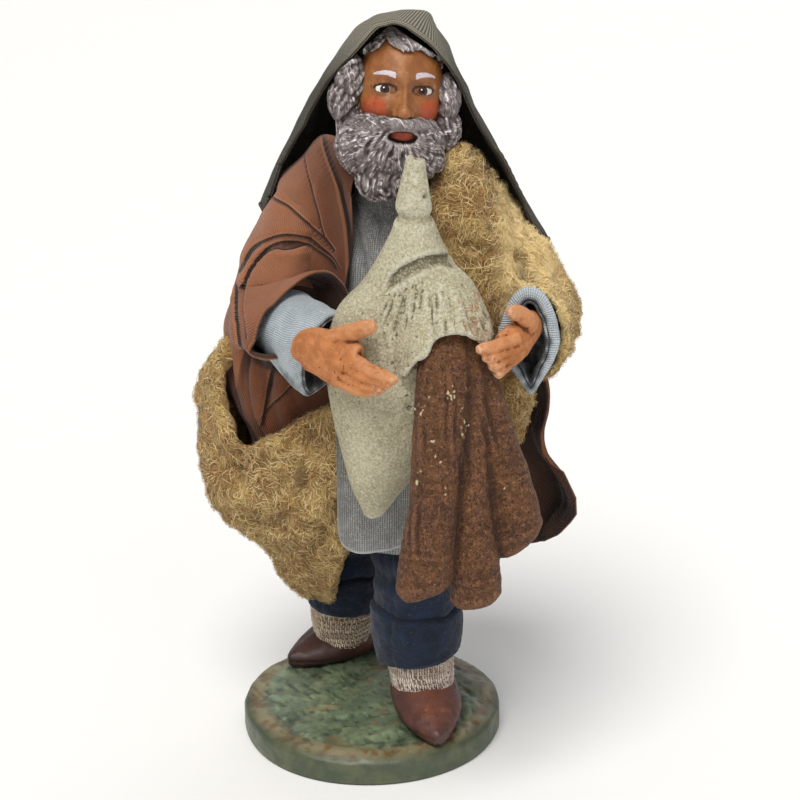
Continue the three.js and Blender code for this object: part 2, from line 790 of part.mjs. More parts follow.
const breeches = cut(trousers(), socksRoom, shoesRoom);
const sleeveHollows = [sleeveHollow(rightSleeve, 0.3), sleeveHollow(leftSleeve, 0.55)];
const tunic = cut(shirt(), trousers(room), hardRoom, ...sleeveHollows);
const kerchief = cut(hood(), headRoom, shirt(room));
const innerRoom = join(trousers(room), socksRoom, hardRoom, hood(room));
const wristRoom = sleeveRoom(coatSleeve, clothThickness / part);
const overcoat = cut(coat(), join(wristRoom, innerRoom, shirt(room)));
const armRoom = sleeveRoom(fleeceSleeve, 2);
const sheepskin = cut(fleece(), join(armRoom, innerRoom, shirt(2 * room)), coat(room));

// One mesh for each piece, with its colour and finish.
function piece(name, body, colour, roughness = 0.9) {
  const mesh = mainPiece(body).getMesh();
  const points = new Float32Array(mesh.numVert * 3);
  for (let i = 0; i < mesh.numVert; i++)
    points.set(mesh.vertProperties.subarray(i * mesh.numProp, i * mesh.numProp + 3), i * 3);
  const geometry = new THREE.BufferGeometry()
    .setAttribute("position", new THREE.BufferAttribute(points, 3))
    .setIndex(new THREE.BufferAttribute(mesh.triVerts, 1));
  geometry.computeVertexNormals();
  const material = new THREE.MeshStandardMaterial({ color: colour, roughness, metalness: 0 });
  const made = new THREE.Mesh(geometry, material);
  made.name = name;
  return made;
}

const figure = new THREE.Group();
figure.add(
  piece("base", base(), 0x5f7055, 0.55),
  piece("shoe_left", shoeLeft, 0x62342a, 0.4),
  piece("shoe_right", shoeRight, 0x62342a, 0.4),
  piece("sock_left", sockLeft, 0xcdb9a0),
  piece("sock_right", sockRight, 0xcdb9a0),
  piece("trousers", breeches, 0x233044),
  piece("shirt", tunic, 0x979ba0),
  piece("hand_right", hand(rightHand), 0xcd7d46, 0.8),
  piece("hand_left", hand(leftHand), 0xcd7d46, 0.8),
  piece("bag", cut(bag(), handsRoom, pipesRoom, ...bagCuts()), 0xbeb9a0, 0.85),
  piece("pipes", cut(pipes(), handsRoom), 0x69412f, 0.75),
  piece("head", head(), 0xc27a45, 0.6),
  piece("coat", overcoat, 0x7d4b37),
  piece("fleece", sheepskin, 0xbe9b5f, 1),
  piece("hood", kerchief, 0x555244),
);

export default figure;
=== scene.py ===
import math
import bpy
import numpy as np
from mathutils.bvhtree import BVHTree
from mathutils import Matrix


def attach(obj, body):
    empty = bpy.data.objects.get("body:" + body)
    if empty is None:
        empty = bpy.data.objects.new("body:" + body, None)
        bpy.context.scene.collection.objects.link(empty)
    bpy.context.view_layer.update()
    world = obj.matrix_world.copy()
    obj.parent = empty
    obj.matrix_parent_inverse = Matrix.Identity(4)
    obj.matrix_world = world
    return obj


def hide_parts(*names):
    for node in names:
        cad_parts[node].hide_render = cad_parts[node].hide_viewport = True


# A bagpiper of fired clay, dressed in cloth and sheepskin. Sizes are in millimetres, with
# heights above the base's top, until toMetres puts a mesh in the frame.
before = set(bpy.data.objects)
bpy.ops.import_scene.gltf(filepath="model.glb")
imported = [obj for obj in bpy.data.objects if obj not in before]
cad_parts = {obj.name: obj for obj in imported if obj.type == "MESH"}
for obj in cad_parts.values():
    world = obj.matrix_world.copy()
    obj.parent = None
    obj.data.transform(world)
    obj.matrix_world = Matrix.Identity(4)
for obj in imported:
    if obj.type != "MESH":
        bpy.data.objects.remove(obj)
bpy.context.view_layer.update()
mm = 0.001
baseTop = 8.5
print("frame loaded:", len(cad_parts), "nodes")


# Steady random values at whole grid points, the same in every run.
def hashed(cell, seed):
    x, y, z = (cell[..., axis].astype(np.int64) for axis in range(3))
    n = x * 73856093 ^ y * 19349663 ^ z * 83492791 ^ np.int64(seed * 15485863 + 7)
    n = (n ^ (n >> 13)) * 1274126177 & 0x7FFFFFFF
    n = (n ^ (n >> 15)) * 668265263 & 0x7FFFFFFF
    return ((n ^ (n >> 11)) & 0xFFFF) / 32767.5 - 1


# Smooth lumps from -1 to 1 about as wide as size, over points in mm.
def lumps(points, size, seed=0):
    scaled = np.asarray(points, float) / np.asarray(size, float)
    cell = np.floor(scaled)
    share = scaled - cell
    share = share * share * (3 - 2 * share)
    total = np.zeros(scaled.shape[:-1])
    for corner in np.ndindex(2, 2, 2):
        corner = np.array(corner)
        weight = np.prod(np.where(corner == 1, share, 1 - share), axis=-1)
        total += weight * hashed(cell + corner, seed)
    return total


# Lumps with finer ones on them.
def roughness(points, size, layers=3, seed=0):
    return sum(lumps(points, np.asarray(size) / 2**i, seed + i) / 2**i for i in range(layers))


def ramp(value, low, high):
    share = np.clip((np.asarray(value, float) - low) / (high - low), 0, 1)
    return share * share * (3 - 2 * share)


# 1 in the middle of a line and less towards its ends, for shares of its length.
def slimEnds(along, low, high):
    return np.sin(np.pi * np.clip(along, low, high))


# A soft hill, 1 on the middle and 0 well outside its reach.
def hill(distance, reach):
    return np.exp(-((np.asarray(distance, float) / reach) ** 2))


# A smooth line of steps + 1 points through the given ones.
def spline(points, steps):
    points = np.asarray(points, float)
    padded = np.vstack([2 * points[0] - points[1], points, 2 * points[-1] - points[-2]])
    t = np.linspace(0, len(points) - 1, steps + 1)
    i = np.minimum(t.astype(int), len(points) - 2)
    f = (t - i)[:, None]
    a, b, c, d = padded[i], padded[i + 1], padded[i + 2], padded[i + 3]
    bend = (2 * a - 5 * b + 4 * c - d) * f**2 + (3 * b - a - 3 * c + d) * f**3
    return 0.5 * (2 * b + (c - a) * f + bend)


# Reads rows of [position, value, ...] at any positions, smoothly.
def readTable(table, position):
    table = np.asarray(table, float)
    if table[0, 0] > table[-1, 0]:
        table = table[::-1]
    x, y = table[:, 0], table[:, 1:]
    slope = np.zeros_like(y)
    slope[1:-1] = (y[2:] - y[:-2]) / (x[2:] - x[:-2])[:, None]
    slope[0] = (y[1] - y[0]) / (x[1] - x[0])
    slope[-1] = (y[-1] - y[-2]) / (x[-1] - x[-2])
    position = np.asarray(position, float)
    i = np.clip(np.searchsorted(x, position) - 1, 0, len(x) - 2)
    span = x[i + 1] - x[i]
    s = np.clip((position - x[i]) / span, 0, 1)[..., None]
    span = span[..., None]
    rise = (2 * s**3 - 3 * s**2 + 1) * y[i] + (3 * s**2 - 2 * s**3) * y[i + 1]
    lean = (s**3 - 2 * s**2 + s) * slope[i] + (s**3 - s**2) * slope[i + 1]
    return rise + lean * span


def unit(vectors):
    length = np.linalg.norm(vectors, axis=-1, keepdims=True)
    return vectors / np.maximum(length, 1e-9)


# Rings along stations of [x, y, z, half width, half depth, turn in degrees].
def rings(stations, sides, steps, side=(1, 0, 0), relief=None):
    rows = [list(station) + [0] * (6 - len(station)) for station in stations]
    path = spline(rows, (len(rows) - 1) * steps)
    middle, wide, deep, turn = path[:, :3], path[:, 3], path[:, 4], np.radians(path[:, 5])
    along = unit(np.gradient(middle, axis=0))
    side = np.asarray(side, float)
    across = unit(side - (along @ side)[:, None] * along)
    back = np.cross(along, across)
    turned = across * np.cos(turn)[:, None] + back * np.sin(turn)[:, None]
    back = np.cross(along, turned)
    angle = circle(sides)
    t = np.linspace(0, 1, len(path))
    swell = 1 + (relief(angle[None, :], t[:, None]) if relief else 0)
    reachX = (wide[:, None] * swell * np.cos(angle))[..., None]
    reachY = (deep[:, None] * swell * np.sin(angle))[..., None]
    return middle[:, None] + reachX * turned[:, None] + reachY * back[:, None]


# Evenly spaced turns round a circle.
def circle(sides):
    return np.linspace(0, 2 * np.pi, sides, endpoint=False)


# Each ring's middle, and the way out of it at each of its points.
def outOf(rows, level=False):
    middle = rows.mean(axis=1, keepdims=True)
    out = rows - middle
    if level:
        out[..., 2] = 0
    return middle, unit(out)


def deselectAll():
    if bpy.context.object and bpy.context.object.mode != "OBJECT":
        bpy.ops.object.mode_set(mode="OBJECT")
    bpy.ops.object.select_all(action="DESELECT")


def makeActive(piece):
    deselectAll()
    piece.select_set(True)
    bpy.context.view_layer.objects.active = piece


def readData(source, key, width, kind=np.float32):
    flat = np.empty(len(source) * width, kind)
    source.foreach_get(key, flat)
    return flat.reshape(-1, width)


def points(piece):
    return readData(piece.data.vertices, "co", 3).astype(float)


def normals(piece):
    return readData(piece.data.vertices, "normal", 3).astype(float)


def setPoints(piece, coords):
    piece.data.vertices.foreach_set("co", np.asarray(coords, np.float32).ravel())
    piece.data.update()


def valueOf(piece, name):
    return readData(piece.data.attributes[name].data, "value", 1)[:, 0]


def setValue(piece, name, values):
    layer = piece.data.attributes.get(name) or piece.data.attributes.new(name, "FLOAT", "POINT")
    values = np.broadcast_to(np.ravel(values), len(piece.data.vertices))
    layer.data.foreach_set("value", values.astype(np.float32))


def modify(piece, kind, **settings):
    makeActive(piece)
    modifier = piece.modifiers.new(kind.lower(), kind)
    for key, value in settings.items():
        setattr(modifier, key, value)
    bpy.ops.object.modifier_apply(modifier=modifier.name)


# Joins coinciding vertices and turns the faces outwards.
def weld(piece, outwards=True):
    makeActive(piece)
    bpy.ops.object.mode_set(mode="EDIT")
    bpy.ops.mesh.select_all(action="SELECT")
    bpy.ops.mesh.remove_doubles(threshold=0.001)
    if outwards:
        bpy.ops.mesh.normals_make_consistent(inside=False)
    bpy.ops.object.mode_set(mode="OBJECT")
    return piece


def joined(name, *pieces):
    makeActive(pieces[0])
    for piece in pieces:
        piece.select_set(True)
    if len(pieces) > 1:
        bpy.ops.object.join()
    whole = bpy.context.object
    whole.name = whole.data.name = name
    return whole


# A grid primitive bent through the given rows of points. Its own map is laid out in mm.
def sheetOf(name, rows, wrap=False):
    rows = np.asarray(rows, float)
    if wrap:
        rows = np.concatenate([rows, rows[:, :1]], axis=1)
    high, wide = rows.shape[:2]
    deselectAll()
    bpy.ops.mesh.primitive_grid_add(x_subdivisions=wide - 1, y_subdivisions=high - 1, size=1)
    piece = bpy.context.object
    piece.name = piece.data.name = name
    setPoints(piece, rows.reshape(-1, 3))
    stepX = np.linalg.norm(np.diff(rows, axis=1), axis=2).mean(axis=0)
    stepY = np.linalg.norm(np.diff(rows, axis=0), axis=2).mean(axis=1)
    mapX = np.concatenate([[0], np.cumsum(stepX)])
    mapY = np.concatenate([[0], np.cumsum(stepY)])
    spots = np.stack(np.broadcast_arrays(mapX[None, :], mapY[:, None]), axis=-1).reshape(-1, 2)
    corner = readData(piece.data.loops, "vertex_index", 1, np.int32)[:, 0]
    piece.data.uv_layers[0].data.foreach_set("uv", spots[corner].astype(np.float32).ravel())
    if wrap:
        weld(piece, outwards=False)
    return piece


# A closed body from rings: its ends are drawn in to a point.
def bodyOf(name, ringRows):
    ringRows = np.asarray(ringRows, float)
    rims = ringRows[0], ringRows[-1]
    first, last = (np.broadcast_to(ring.mean(axis=0), ring.shape)[None] for ring in rims)
    return weld(sheetOf(name, np.concatenate([first, ringRows, last]), wrap=True))


# Rings that line a garment's mouth, from the deepest to the rim: [amount inwards, rise].
def lined(rows, out, steps):
    inner = [rows[0] - out[0] * amount + (0, 0, rise) for amount, rise in steps]
    return np.concatenate([inner, rows])


def sphere(segments, ringCount, radius=1):
    deselectAll()
    bpy.ops.mesh.primitive_uv_sphere_add(segments=segments, ring_count=ringCount, radius=radius)
    return bpy.context.object


# One even closed skin over pieces that overlap.
def fused(name, pieces, voxel, smooth=2):
    whole = joined(name, *pieces)
    modify(whole, "REMESH", mode="VOXEL", voxel_size=voxel, use_smooth_shade=True)
    if smooth:
        modify(whole, "SMOOTH", factor=0.5, iterations=smooth)
    return whole


# How far each vertex stands out of its blurred surroundings, in mm, kept for the paint.
def markRelief(piece, rounds=12):
    coords = points(piece)
    a, b = readData(piece.data.edges, "vertices", 2, np.int32).T
    count = np.bincount(np.concatenate([a, b]), minlength=len(coords))[:, None]
    blurred = coords.copy()
    for _ in range(rounds):
        total = np.zeros_like(blurred)
        for axis in range(3):
            total[:, axis] = np.bincount(a, blurred[b, axis], len(coords))
            total[:, axis] += np.bincount(b, blurred[a, axis], len(coords))
        blurred = 0.5 * blurred + 0.5 * total / np.maximum(count, 1)
    setValue(piece, "relief", ((coords - blurred) * normals(piece)).sum(axis=1))


# Puts a finished mesh in the frame, on its body, in place of its CAD node.
def toMetres(piece, node, material):
    makeActive(piece)
    bpy.ops.object.shade_smooth()
    setPoints(piece, (points(piece) + (0, 0, baseTop)) * mm)
    piece.data.materials.clear()
    piece.data.materials.append(material)
    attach(piece, "root")
    if node:
        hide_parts(node)
    print(piece.name, sum(len(face.vertices) - 2 for face in piece.data.polygons), "triangles")


# A socket that takes part in sums. Each sum adds a Math node.
class Wire:
    def __init__(self, paint, socket):
        self.paint = paint
        self.socket = socket

    def math(self, operation, *others):
        return self.paint.node("ShaderNodeMath", {"operation": operation}, [self, *others])

    def __add__(self, other):
        return self.math("ADD", other)

    def __sub__(self, other):
        return self.math("SUBTRACT", other)

    def __mul__(self, other):
        return self.math("MULTIPLY", other)

    def __pow__(self, other):
        return self.math("POWER", other)

    def __rsub__(self, other):
        return self.paint.node("ShaderNodeMath", {"operation": "SUBTRACT"}, [other, self])

    __radd__ = __add__
    __rmul__ = __mul__


def tint(code):
    parts = [int(code[i : i + 2], 16) / 255 for i in (1, 3, 5)]
    linear = [c / 12.92 if c <= 0.04045 else ((c + 0.055) / 1.055) ** 2.4 for c in parts]
    return (*linear, 1)


# A material that is painted node by node, coat over coat.
class Paint:
    def __init__(self, name, **finish):
        self.material = bpy.data.materials.new(name)
        self.material.use_nodes = True
        self.tree = self.material.node_tree
        self.surface = self.tree.nodes["Principled BSDF"]
        for socket, value in finish.items():
            self.surface.inputs[socket.replace("_", " ")].default_value = value
        self.spot = self.node("ShaderNodeTexCoord", out="Object")
        self.spot = self.stretch((1 / mm,) * 3)

    def put(self, socket, value):
        if isinstance(value, Wire):
            self.tree.links.new(value.socket, socket)
        else:
            socket.default_value = tint(value) if isinstance(value, str) else value

    def node(self, kind, settings=None, sockets=None, out=0):
        node = self.tree.nodes.new(kind)
        for key, value in (settings or {}).items():
            setattr(node, key, value)
        pairs = sockets.items() if isinstance(sockets, dict) else enumerate(sockets or [])
        for key, value in pairs:
            self.put(node.inputs[key], value)
        return Wire(self, node.outputs[out])

    def stretch(self, scale, spot=None):
        return self.node("ShaderNodeMapping", {}, {"Vector": spot or self.spot, "Scale": scale})

    def axes(self, spot=None):
        return [self.node("ShaderNodeSeparateXYZ", {}, [spot or self.spot], i) for i in range(3)]

    def value(self, name):
        return self.node("ShaderNodeAttribute", {"attribute_name": name}, out="Fac")

    def noise(self, size, detail=3, rough=0.6, distortion=0.0, scale=None, spot=None):
        spot = self.stretch(scale, spot) if scale else spot or self.spot
        sockets = {"Vector": spot, "Scale": 1 / size, "Detail": detail}
        sockets |= {"Roughness": rough, "Distortion": distortion}
        return self.node("ShaderNodeTexNoise", {}, sockets)

    def band(self, value, low, high, start=0.0, end=1.0):
        settings = {"interpolation_type": "SMOOTHSTEP"}
        sockets = {"Value": value, "From Min": low, "From Max": high}
        sockets |= {"To Min": start, "To Max": end}
        return self.node("ShaderNodeMapRange", settings, sockets)

    def blend(self, share, a, b):
        return self.node("ShaderNodeMix", {"data_type": "RGBA"}, {0: share, 6: a, 7: b}, 2)

    # An attribute's name, a noise's measures or a wire, as a wire.
    def follow(self, source):
        if isinstance(source, str):
            return self.value(source)
        return self.noise(*source) if isinstance(source, tuple) else source

    def ground(self, source, low, high, a, b):
        self.colour = self.blend(self.band(self.follow(source), low, high), a, b)

    # Each coat: what it follows, where that starts and is full, how strong it is, its colour.
    def coats(self, *rows):
        for source, low, high, strength, colour in rows:
            share = self.follow(source)
            if low is not None:
                share = self.band(share, low, high)
            self.colour = self.blend(share * strength, self.colour, colour)

    # rough is a number, a wire or the size, least and most of patches.
    def finish(self, rough, height=None, depth=0.1):
        if isinstance(rough, tuple):
            rough = self.band(self.noise(rough[0]), 0.3, 0.7, *rough[1:])
        self.put(self.surface.inputs["Base Color"], self.colour)
        self.put(self.surface.inputs["Roughness"], rough)
        if height is not None:
            sockets = {"Height": self.follow(height), "Distance": depth * mm, "Strength": 1.0}
            bump = self.node("ShaderNodeBump", {}, sockets)
            self.put(self.surface.inputs["Normal"], bump)
        return self.material


# Turns points about the upright axis.
def turnAbout(degrees):
    c, s = math.cos(math.radians(degrees)), math.sin(math.radians(degrees))
    return np.array([[c, -s, 0], [s, c, 0], [0, 0, 1]])


# How far flat points lie to the left of a drawn line, and how far along it, 0 to 1, their
# nearest point is. Points on its right have a negative distance.
def besideLine(flat, line):
    line = np.asarray(line, float)
    flat = np.asarray(flat, float)
    best = np.full(len(flat), 1e9)
    where = np.zeros(len(flat))
    left = np.ones(len(flat))
    lengths = np.linalg.norm(np.diff(line, axis=0), axis=1)
    start = np.concatenate([[0], np.cumsum(lengths)]) / lengths.sum()
    for i in range(len(line) - 1):
        step = line[i + 1] - line[i]
        offset = flat - line[i]
        share = np.clip((offset @ step) / (step @ step), 0, 1)
        distance = np.linalg.norm(offset - share[:, None] * step, axis=1)
        nearer = distance < best
        best = np.where(nearer, distance, best)
        where = np.where(nearer, start[i] + share * (start[i + 1] - start[i]), where)
        onLeft = np.where(step[0] * offset[:, 1] > step[1] * offset[:, 0], 1, -1)
        left = np.where(nearer, onLeft, left)
    return best * left, where


# The same without the side.
def fromLine(flat, line):
    gap, where = besideLine(flat, line)
    return np.abs(gap), where


# How far each point is from the nearest of the spots.
def nearest(p, spots):
    return np.min([np.linalg.norm(p - spot, axis=1) for spot in spots], axis=0)


# Moves a ring's points inwards, towards its own middle line, so that a slim ring stays whole.
def inset(ring, amount):
    middle = ring.mean(axis=0)
    _, spread, ways = np.linalg.svd(ring - middle, full_matrices=False)
    reach = spread * math.sqrt(2 / len(ring))
    half = max(reach[0] - reach[1], 0)
    share = np.clip((ring - middle) @ ways[0], -half, half)
    towards = middle + share[:, None] * ways[0] - ring
    far = np.linalg.norm(towards, axis=1)
    step = np.minimum(np.broadcast_to(amount, len(ring)), far * 0.85)
    return ring + unit(towards) * step[:, None]


# The grid of a garment that hangs round the body: girth rows are [height, centre x, centre y,
# half width, half depth] and edge rows are [angle, lower, upper].
def hanging(girth, edges, angle, rows, fold):
    ends = readTable(edges, angle)
    up = np.linspace(0, 1, rows + 1)[:, None]
    height = ends[:, 0] + (ends[:, 1] - ends[:, 0]) * up
    sizes = readTable(girth, height)
    angle = np.broadcast_to(angle, height.shape)
    out = fold(angle, height, np.broadcast_to(up, height.shape))
    turn = np.radians(angle)
    x = sizes[..., 0] + (sizes[..., 2] + out) * np.cos(turn)
    y = sizes[..., 1] + (sizes[..., 3] + out) * np.sin(turn)
    return np.stack([x, y, height], -1)


# Cloth woven or knitted along its own map: ribs one way and rows across them, or a twill.
def clothHeight(paint, rib, row, twill=0.0):
    across, down, _ = paint.axes(paint.node("ShaderNodeTexCoord", out="UV"))
    if twill:
        across = across + down * twill
    ribs = (across * (2 * math.pi / rib)).math("SINE", 0) * 0.5 + 0.5
    rows = (down * (2 * math.pi / row)).math("SINE", 0) * 0.5 + 0.5
    return ribs, rows


# A tube along a line of points, as a strip of rings. Its ends are closed by the weld.
def tubeRows(line, radius, sides, closed=False):
    line = np.asarray(line, float)
    if closed:
        line = np.vstack([line, line[:1]])
        along = unit(np.gradient(np.vstack([line[-2], line, line[1]]), axis=0)[1:-1])
    else:
        along = unit(np.gradient(line, axis=0))
    return ringsRound(line, along, np.broadcast_to(radius, len(line)), sides)


def ringsRound(line, along, radius, sides):
    up = np.where(np.abs(along[..., 2:]) > 0.9, (1.0, 0, 0), (0, 0, 1.0))
    across = unit(np.cross(along, up))
    back = np.cross(along, across)
    turn = circle(sides)[:, None]
    ring = across[..., None, :] * np.cos(turn) + back[..., None, :] * np.sin(turn)
    return line[..., None, :] + radius[..., None, None] * ring


# Many tapered tubes in one mesh: lines are (count, stations, 3) and radii (count, stations).
def manyTubes(name, lines, radii, sides):
    lines = np.asarray(lines, float)
    count, stations = lines.shape[:2]
    along = unit(np.gradient(lines, axis=1))
    coords = ringsRound(lines, along, np.asarray(radii, float), sides).reshape(-1, 3)
    first = np.arange(count)[:, None, None] * stations * sides
    row = np.arange(stations - 1)[None, :, None] * sides
    side = np.arange(sides)[None, None, :]
    a = first + row + side
    b = first + row + (side + 1) % sides
    quads = np.stack([a, b, b + sides, a + sides], -1).reshape(-1, 4)
    low = first[:, 0] + np.arange(sides)[::-1]
    high = first[:, 0] + (stations - 1) * sides + np.arange(sides)
    return meshOf(name, coords, quads.tolist() + low.tolist() + high.tolist())


def meshOf(name, coords, faces):
    mesh = bpy.data.meshes.new(name)
    mesh.from_pydata(coords.tolist(), [], faces)
    piece = bpy.data.objects.new(name, mesh)
    bpy.context.scene.collection.objects.link(piece)
    return piece


# The photograph's view: the figure is seen from a little above, straight on.
cameraSet = {"place": (8.2, -400, 221), "down": 17.2, "lens": 68.99}


def makeCamera():
    deselectAll()
    spot = [value * mm for value in cameraSet["place"]]
    turn = (math.radians(90 - cameraSet["down"]), 0, 0)
    bpy.ops.object.camera_add(location=spot, rotation=turn)
    camera = bpy.context.object
    camera.data.lens = cameraSet["lens"]
    camera.data.sensor_width = 36
    camera.data.clip_start = 0.02
    camera.data.clip_end = 20
    bpy.context.scene.camera = camera


lightSet = {
    "key": {"from": (-0.2, -0.55, 1.0), "spread": 34, "power": 2.6, "colour": (1, 0.985, 0.96)},
    "fill": {"from": (0.5, -0.85, 0.3), "spread": 60, "power": 0.35, "colour": (0.96, 0.98, 1)},
    "back": {"from": (0.25, 0.9, 0.8), "spread": 50, "power": 0.5, "colour": (1, 1, 1)},
}


def makeLights():
    for name, light in lightSet.items():
        deselectAll()
        aim = unit(np.array(light["from"], float))
        turn = (math.acos(aim[2]), 0, math.atan2(aim[0], -aim[1]))
        bpy.ops.object.light_add(type="SUN", location=aim, rotation=turn)
        lamp = bpy.context.object
        lamp.name = name
        lamp.data.angle = math.radians(light["spread"])
        lamp.data.energy = light["power"]
        lamp.data.color = light["colour"]
    world = bpy.data.worlds.new("studio")
    bpy.context.scene.world = world
    world.use_nodes = True
    world.node_tree.nodes["Background"].inputs[0].default_value = (0.94, 0.96, 1, 1)
    world.node_tree.nodes["Background"].inputs[1].default_value = 0.34
    bpy.context.scene.view_settings.view_transform = "Standard"


def makeFloor():
    deselectAll()
    bpy.ops.mesh.primitive_plane_add(size=12, location=(0, 0, 0))
    floor = bpy.context.object
    floor.name = "floor"
    paint = Paint("paleFloor")
    paint.colour = "#f2f1ee"
    floor.data.materials.append(paint.finish(0.8))


makeCamera()
makeLights()
makeFloor()
print("camera, lights and floor ready")


baseSet = {"radius": 37.7, "thick": 8.5, "edge": 3.4, "roll": 5.2, "relief": 0.7, "around": 220,
           "across": 58}


# The turf is dabbed and combed into the wet clay, so it has soft humps with short strokes.
def makeBase():
    s = baseSet
    radius, edge, roll = s["radius"], s["edge"], s["roll"]
    angle = circle(s["around"])
    profile = [(0.02, -s["thick"]), (radius - 1.2, -s["thick"]), (radius - 0.35, -s["thick"] + 0.25)]
    profile += [(radius - 0.05, -s["thick"] + 0.9), (radius, -s["thick"] + 2.4)]
    for turn in np.linspace(0, np.pi / 2, 10):
        profile.append((radius - roll + roll * np.cos(turn), -edge + edge * np.sin(turn)))
    for share in np.linspace(0.985, 0.008, s["across"]):
        profile.append(((radius - roll) * share, 0))
    profile = np.array(profile)
    wobble = 1 + 0.006 * np.sin(3 * angle + 1) + 0.004 * np.sin(5 * angle)
    rows = np.zeros((len(profile), len(angle), 3))
    rows[..., 0] = profile[:, :1] * np.cos(angle) * wobble * 0.988
    rows[..., 1] = profile[:, :1] * np.sin(angle) * wobble * 0.988
    rows[..., 2] = profile[:, 1:]
    piece = bodyOf("clayBase", rows)
    p = points(piece)
    x, y, z = p.T
    spot = p.copy()
    out = np.hypot(x, y) / radius
    turf = np.sin(x * 0.31 + 1) * np.sin(y * 0.37)
    turf += np.sin(x * 0.17 - y * 0.23)
    top = ramp(z, -edge, -0.2)
    humps = roughness(spot, 5.5, 3, 11) * 0.42 + roughness(spot, 1.7, 2, 12) * 0.16
    strokes = lumps(spot @ turnAbout(24), (0.9, 3.4, 2), 13)
    strokes = np.minimum(strokes + 0.25, 0) * 0.42 * (lumps(spot, 7, 14) > -0.3)
    z += top * (-0.5 * s["relief"] - 0.22 * turf + np.minimum(humps, 0.35) + strokes)
    z[:] = np.where(top > 0.9, np.minimum(z, -0.02), z)
    side = (1 - top) * ramp(z, -s["thick"] + 0.2, -s["thick"] + 1.5)
    swell = roughness(spot, 6, 3, 15) * 0.28 - 0.28
    swell *= np.maximum(side, 0.4 * (out > 0.8) * (z > -8))
    p[:, :2] *= (1 + swell / radius)[:, None]
    setPoints(piece, p)
    markRelief(piece, 14)

    paint = Paint("paintedGlaze", Coat_Weight=0.2, Coat_Roughness=0.38, Specular_IOR_Level=0.5)
    x, y, z = paint.axes()
    reach = (x * x + y * y) ** 0.5
    flow = paint.noise(9, 4, 0.62, 0.6)
    rim = paint.band(reach, 29, 34) * paint.band(z, 4.2, 7.0)
    wall = paint.band(z, 8.3, 6.6) * paint.band(reach, 31.5, 34.5)
    where = paint.band(paint.noise(9, 2, 0.5), 0.5, 0.62)
    paint.ground(flow, 0.36, 0.66, "#53614a", "#7f8c6a")
    paint.coats(
        ((5.5, 4, 0.6, 1.2, (1, 0.7, 1)), 0.56, 0.68, 0.7, "#8ba384"),
        ((13, 3, 0.6, 0.4), 0.42, 0.62, 0.5, "#434d3e"),
        ((12, 3, 0.5, 0.3), 0.22, 0.46, rim * 0.85, "#76532e"),
        ((6.5, 4, 0.6, 0.8, (0.8, 1.3, 1)), 0.55, 0.66, 0.62, "#7c5d42"),
        ("relief", -0.02, -0.16, 0.62, "#2a352b"),
        ("relief", 0.04, 0.2, 0.24, "#9fb392"),
        ((1.6, 2, 0.6), 0.7, 0.76, where, "#5b2a22"),
        ((0.9, 2, 0.7, 1.5, (0.35, 1.6, 1)), 0.71, 0.75, 0.7, "#c9d3c4"),
        # painted shade: the side is darker, as if under the light from above
        (wall, None, None, 0.9, paint.blend(paint.band(flow, 0.4, 0.6), "#35402c", "#4c5136")),
        (z, 0.7, 0.1, 0.8, "#232420"),
    )
    toMetres(piece, "base", paint.finish((4, 0.38, 0.56), (0.7, 4, 0.65), 0.12))


makeBase()


shoeProfile = [
    [0, 3.6, 7.5], [3, 7.2, 10.8], [9, 9.2, 12.2], [16, 9.7, 11], [23, 8.7, 8.6],
    [29.5, 6, 6.4], [34, 2.9, 4.4], [35.6, 0.9, 3.2],
]
shoeSet = {
    "left": {"toe": (18.4, -31.3), "heading": 278, "seed": 3},
    "right": {"toe": (-24.8, 15.6), "heading": 217, "seed": 8},
}


# A slipper of clay, squeezed to a soft point, with a pinched ridge down the instep.
def makeShoe(side):
    s = shoeSet[side]
    turn = math.radians(s["heading"])
    ahead = np.array((math.cos(turn), math.sin(turn)))
    length = shoeProfile[-1][0]
    stations = []
    for along, wide, tall in shoeProfile:
        x, y = np.array(s["toe"]) - ahead * (length - along)
        stations.append([x, y, tall * 0.42, wide, tall * 0.58])
    across = (-ahead[1], ahead[0], 0)
    ringRows = rings(stations, 72, 12, across)
    ringRows[..., 2] = np.maximum(ringRows[..., 2], 0.3)
    piece = bodyOf("clayShoe_" + side, ringRows)
    p = points(piece)
    x, y, z = p.T
    off = (p[:, :2] - s["toe"]) @ np.array(across[:2])
    along = (p[:, :2] - s["toe"]) @ ahead + length
    soleLine = hill(z - 2.1, 0.55) * ramp(z, 0.6, 1.4)
    inward = unit(normals(piece) * (1, 1, 0))
    p -= inward * (soleLine * 0.28)[:, None]
    crease = hill(off + 0.5 * np.sin(along * 0.3), 1.6) * ramp(along, 14, 20)
    z += crease * 0.4 * ramp(z, 2.5, 4.5)
    dents = roughness(p, 3.6, 3, s["seed"]) * 0.2
    p += normals(piece) * (dents * ramp(z, 0.3, 1.2))[:, None]
    z[:] = np.maximum(z, 0.3)
    setPoints(piece, p)
    markRelief(piece, 20)
    setValue(piece, "top", ramp(z, 3.2, 7.5) * hill(off, 4.4))
    toMetres(piece, "shoe_" + side, shoePaint)


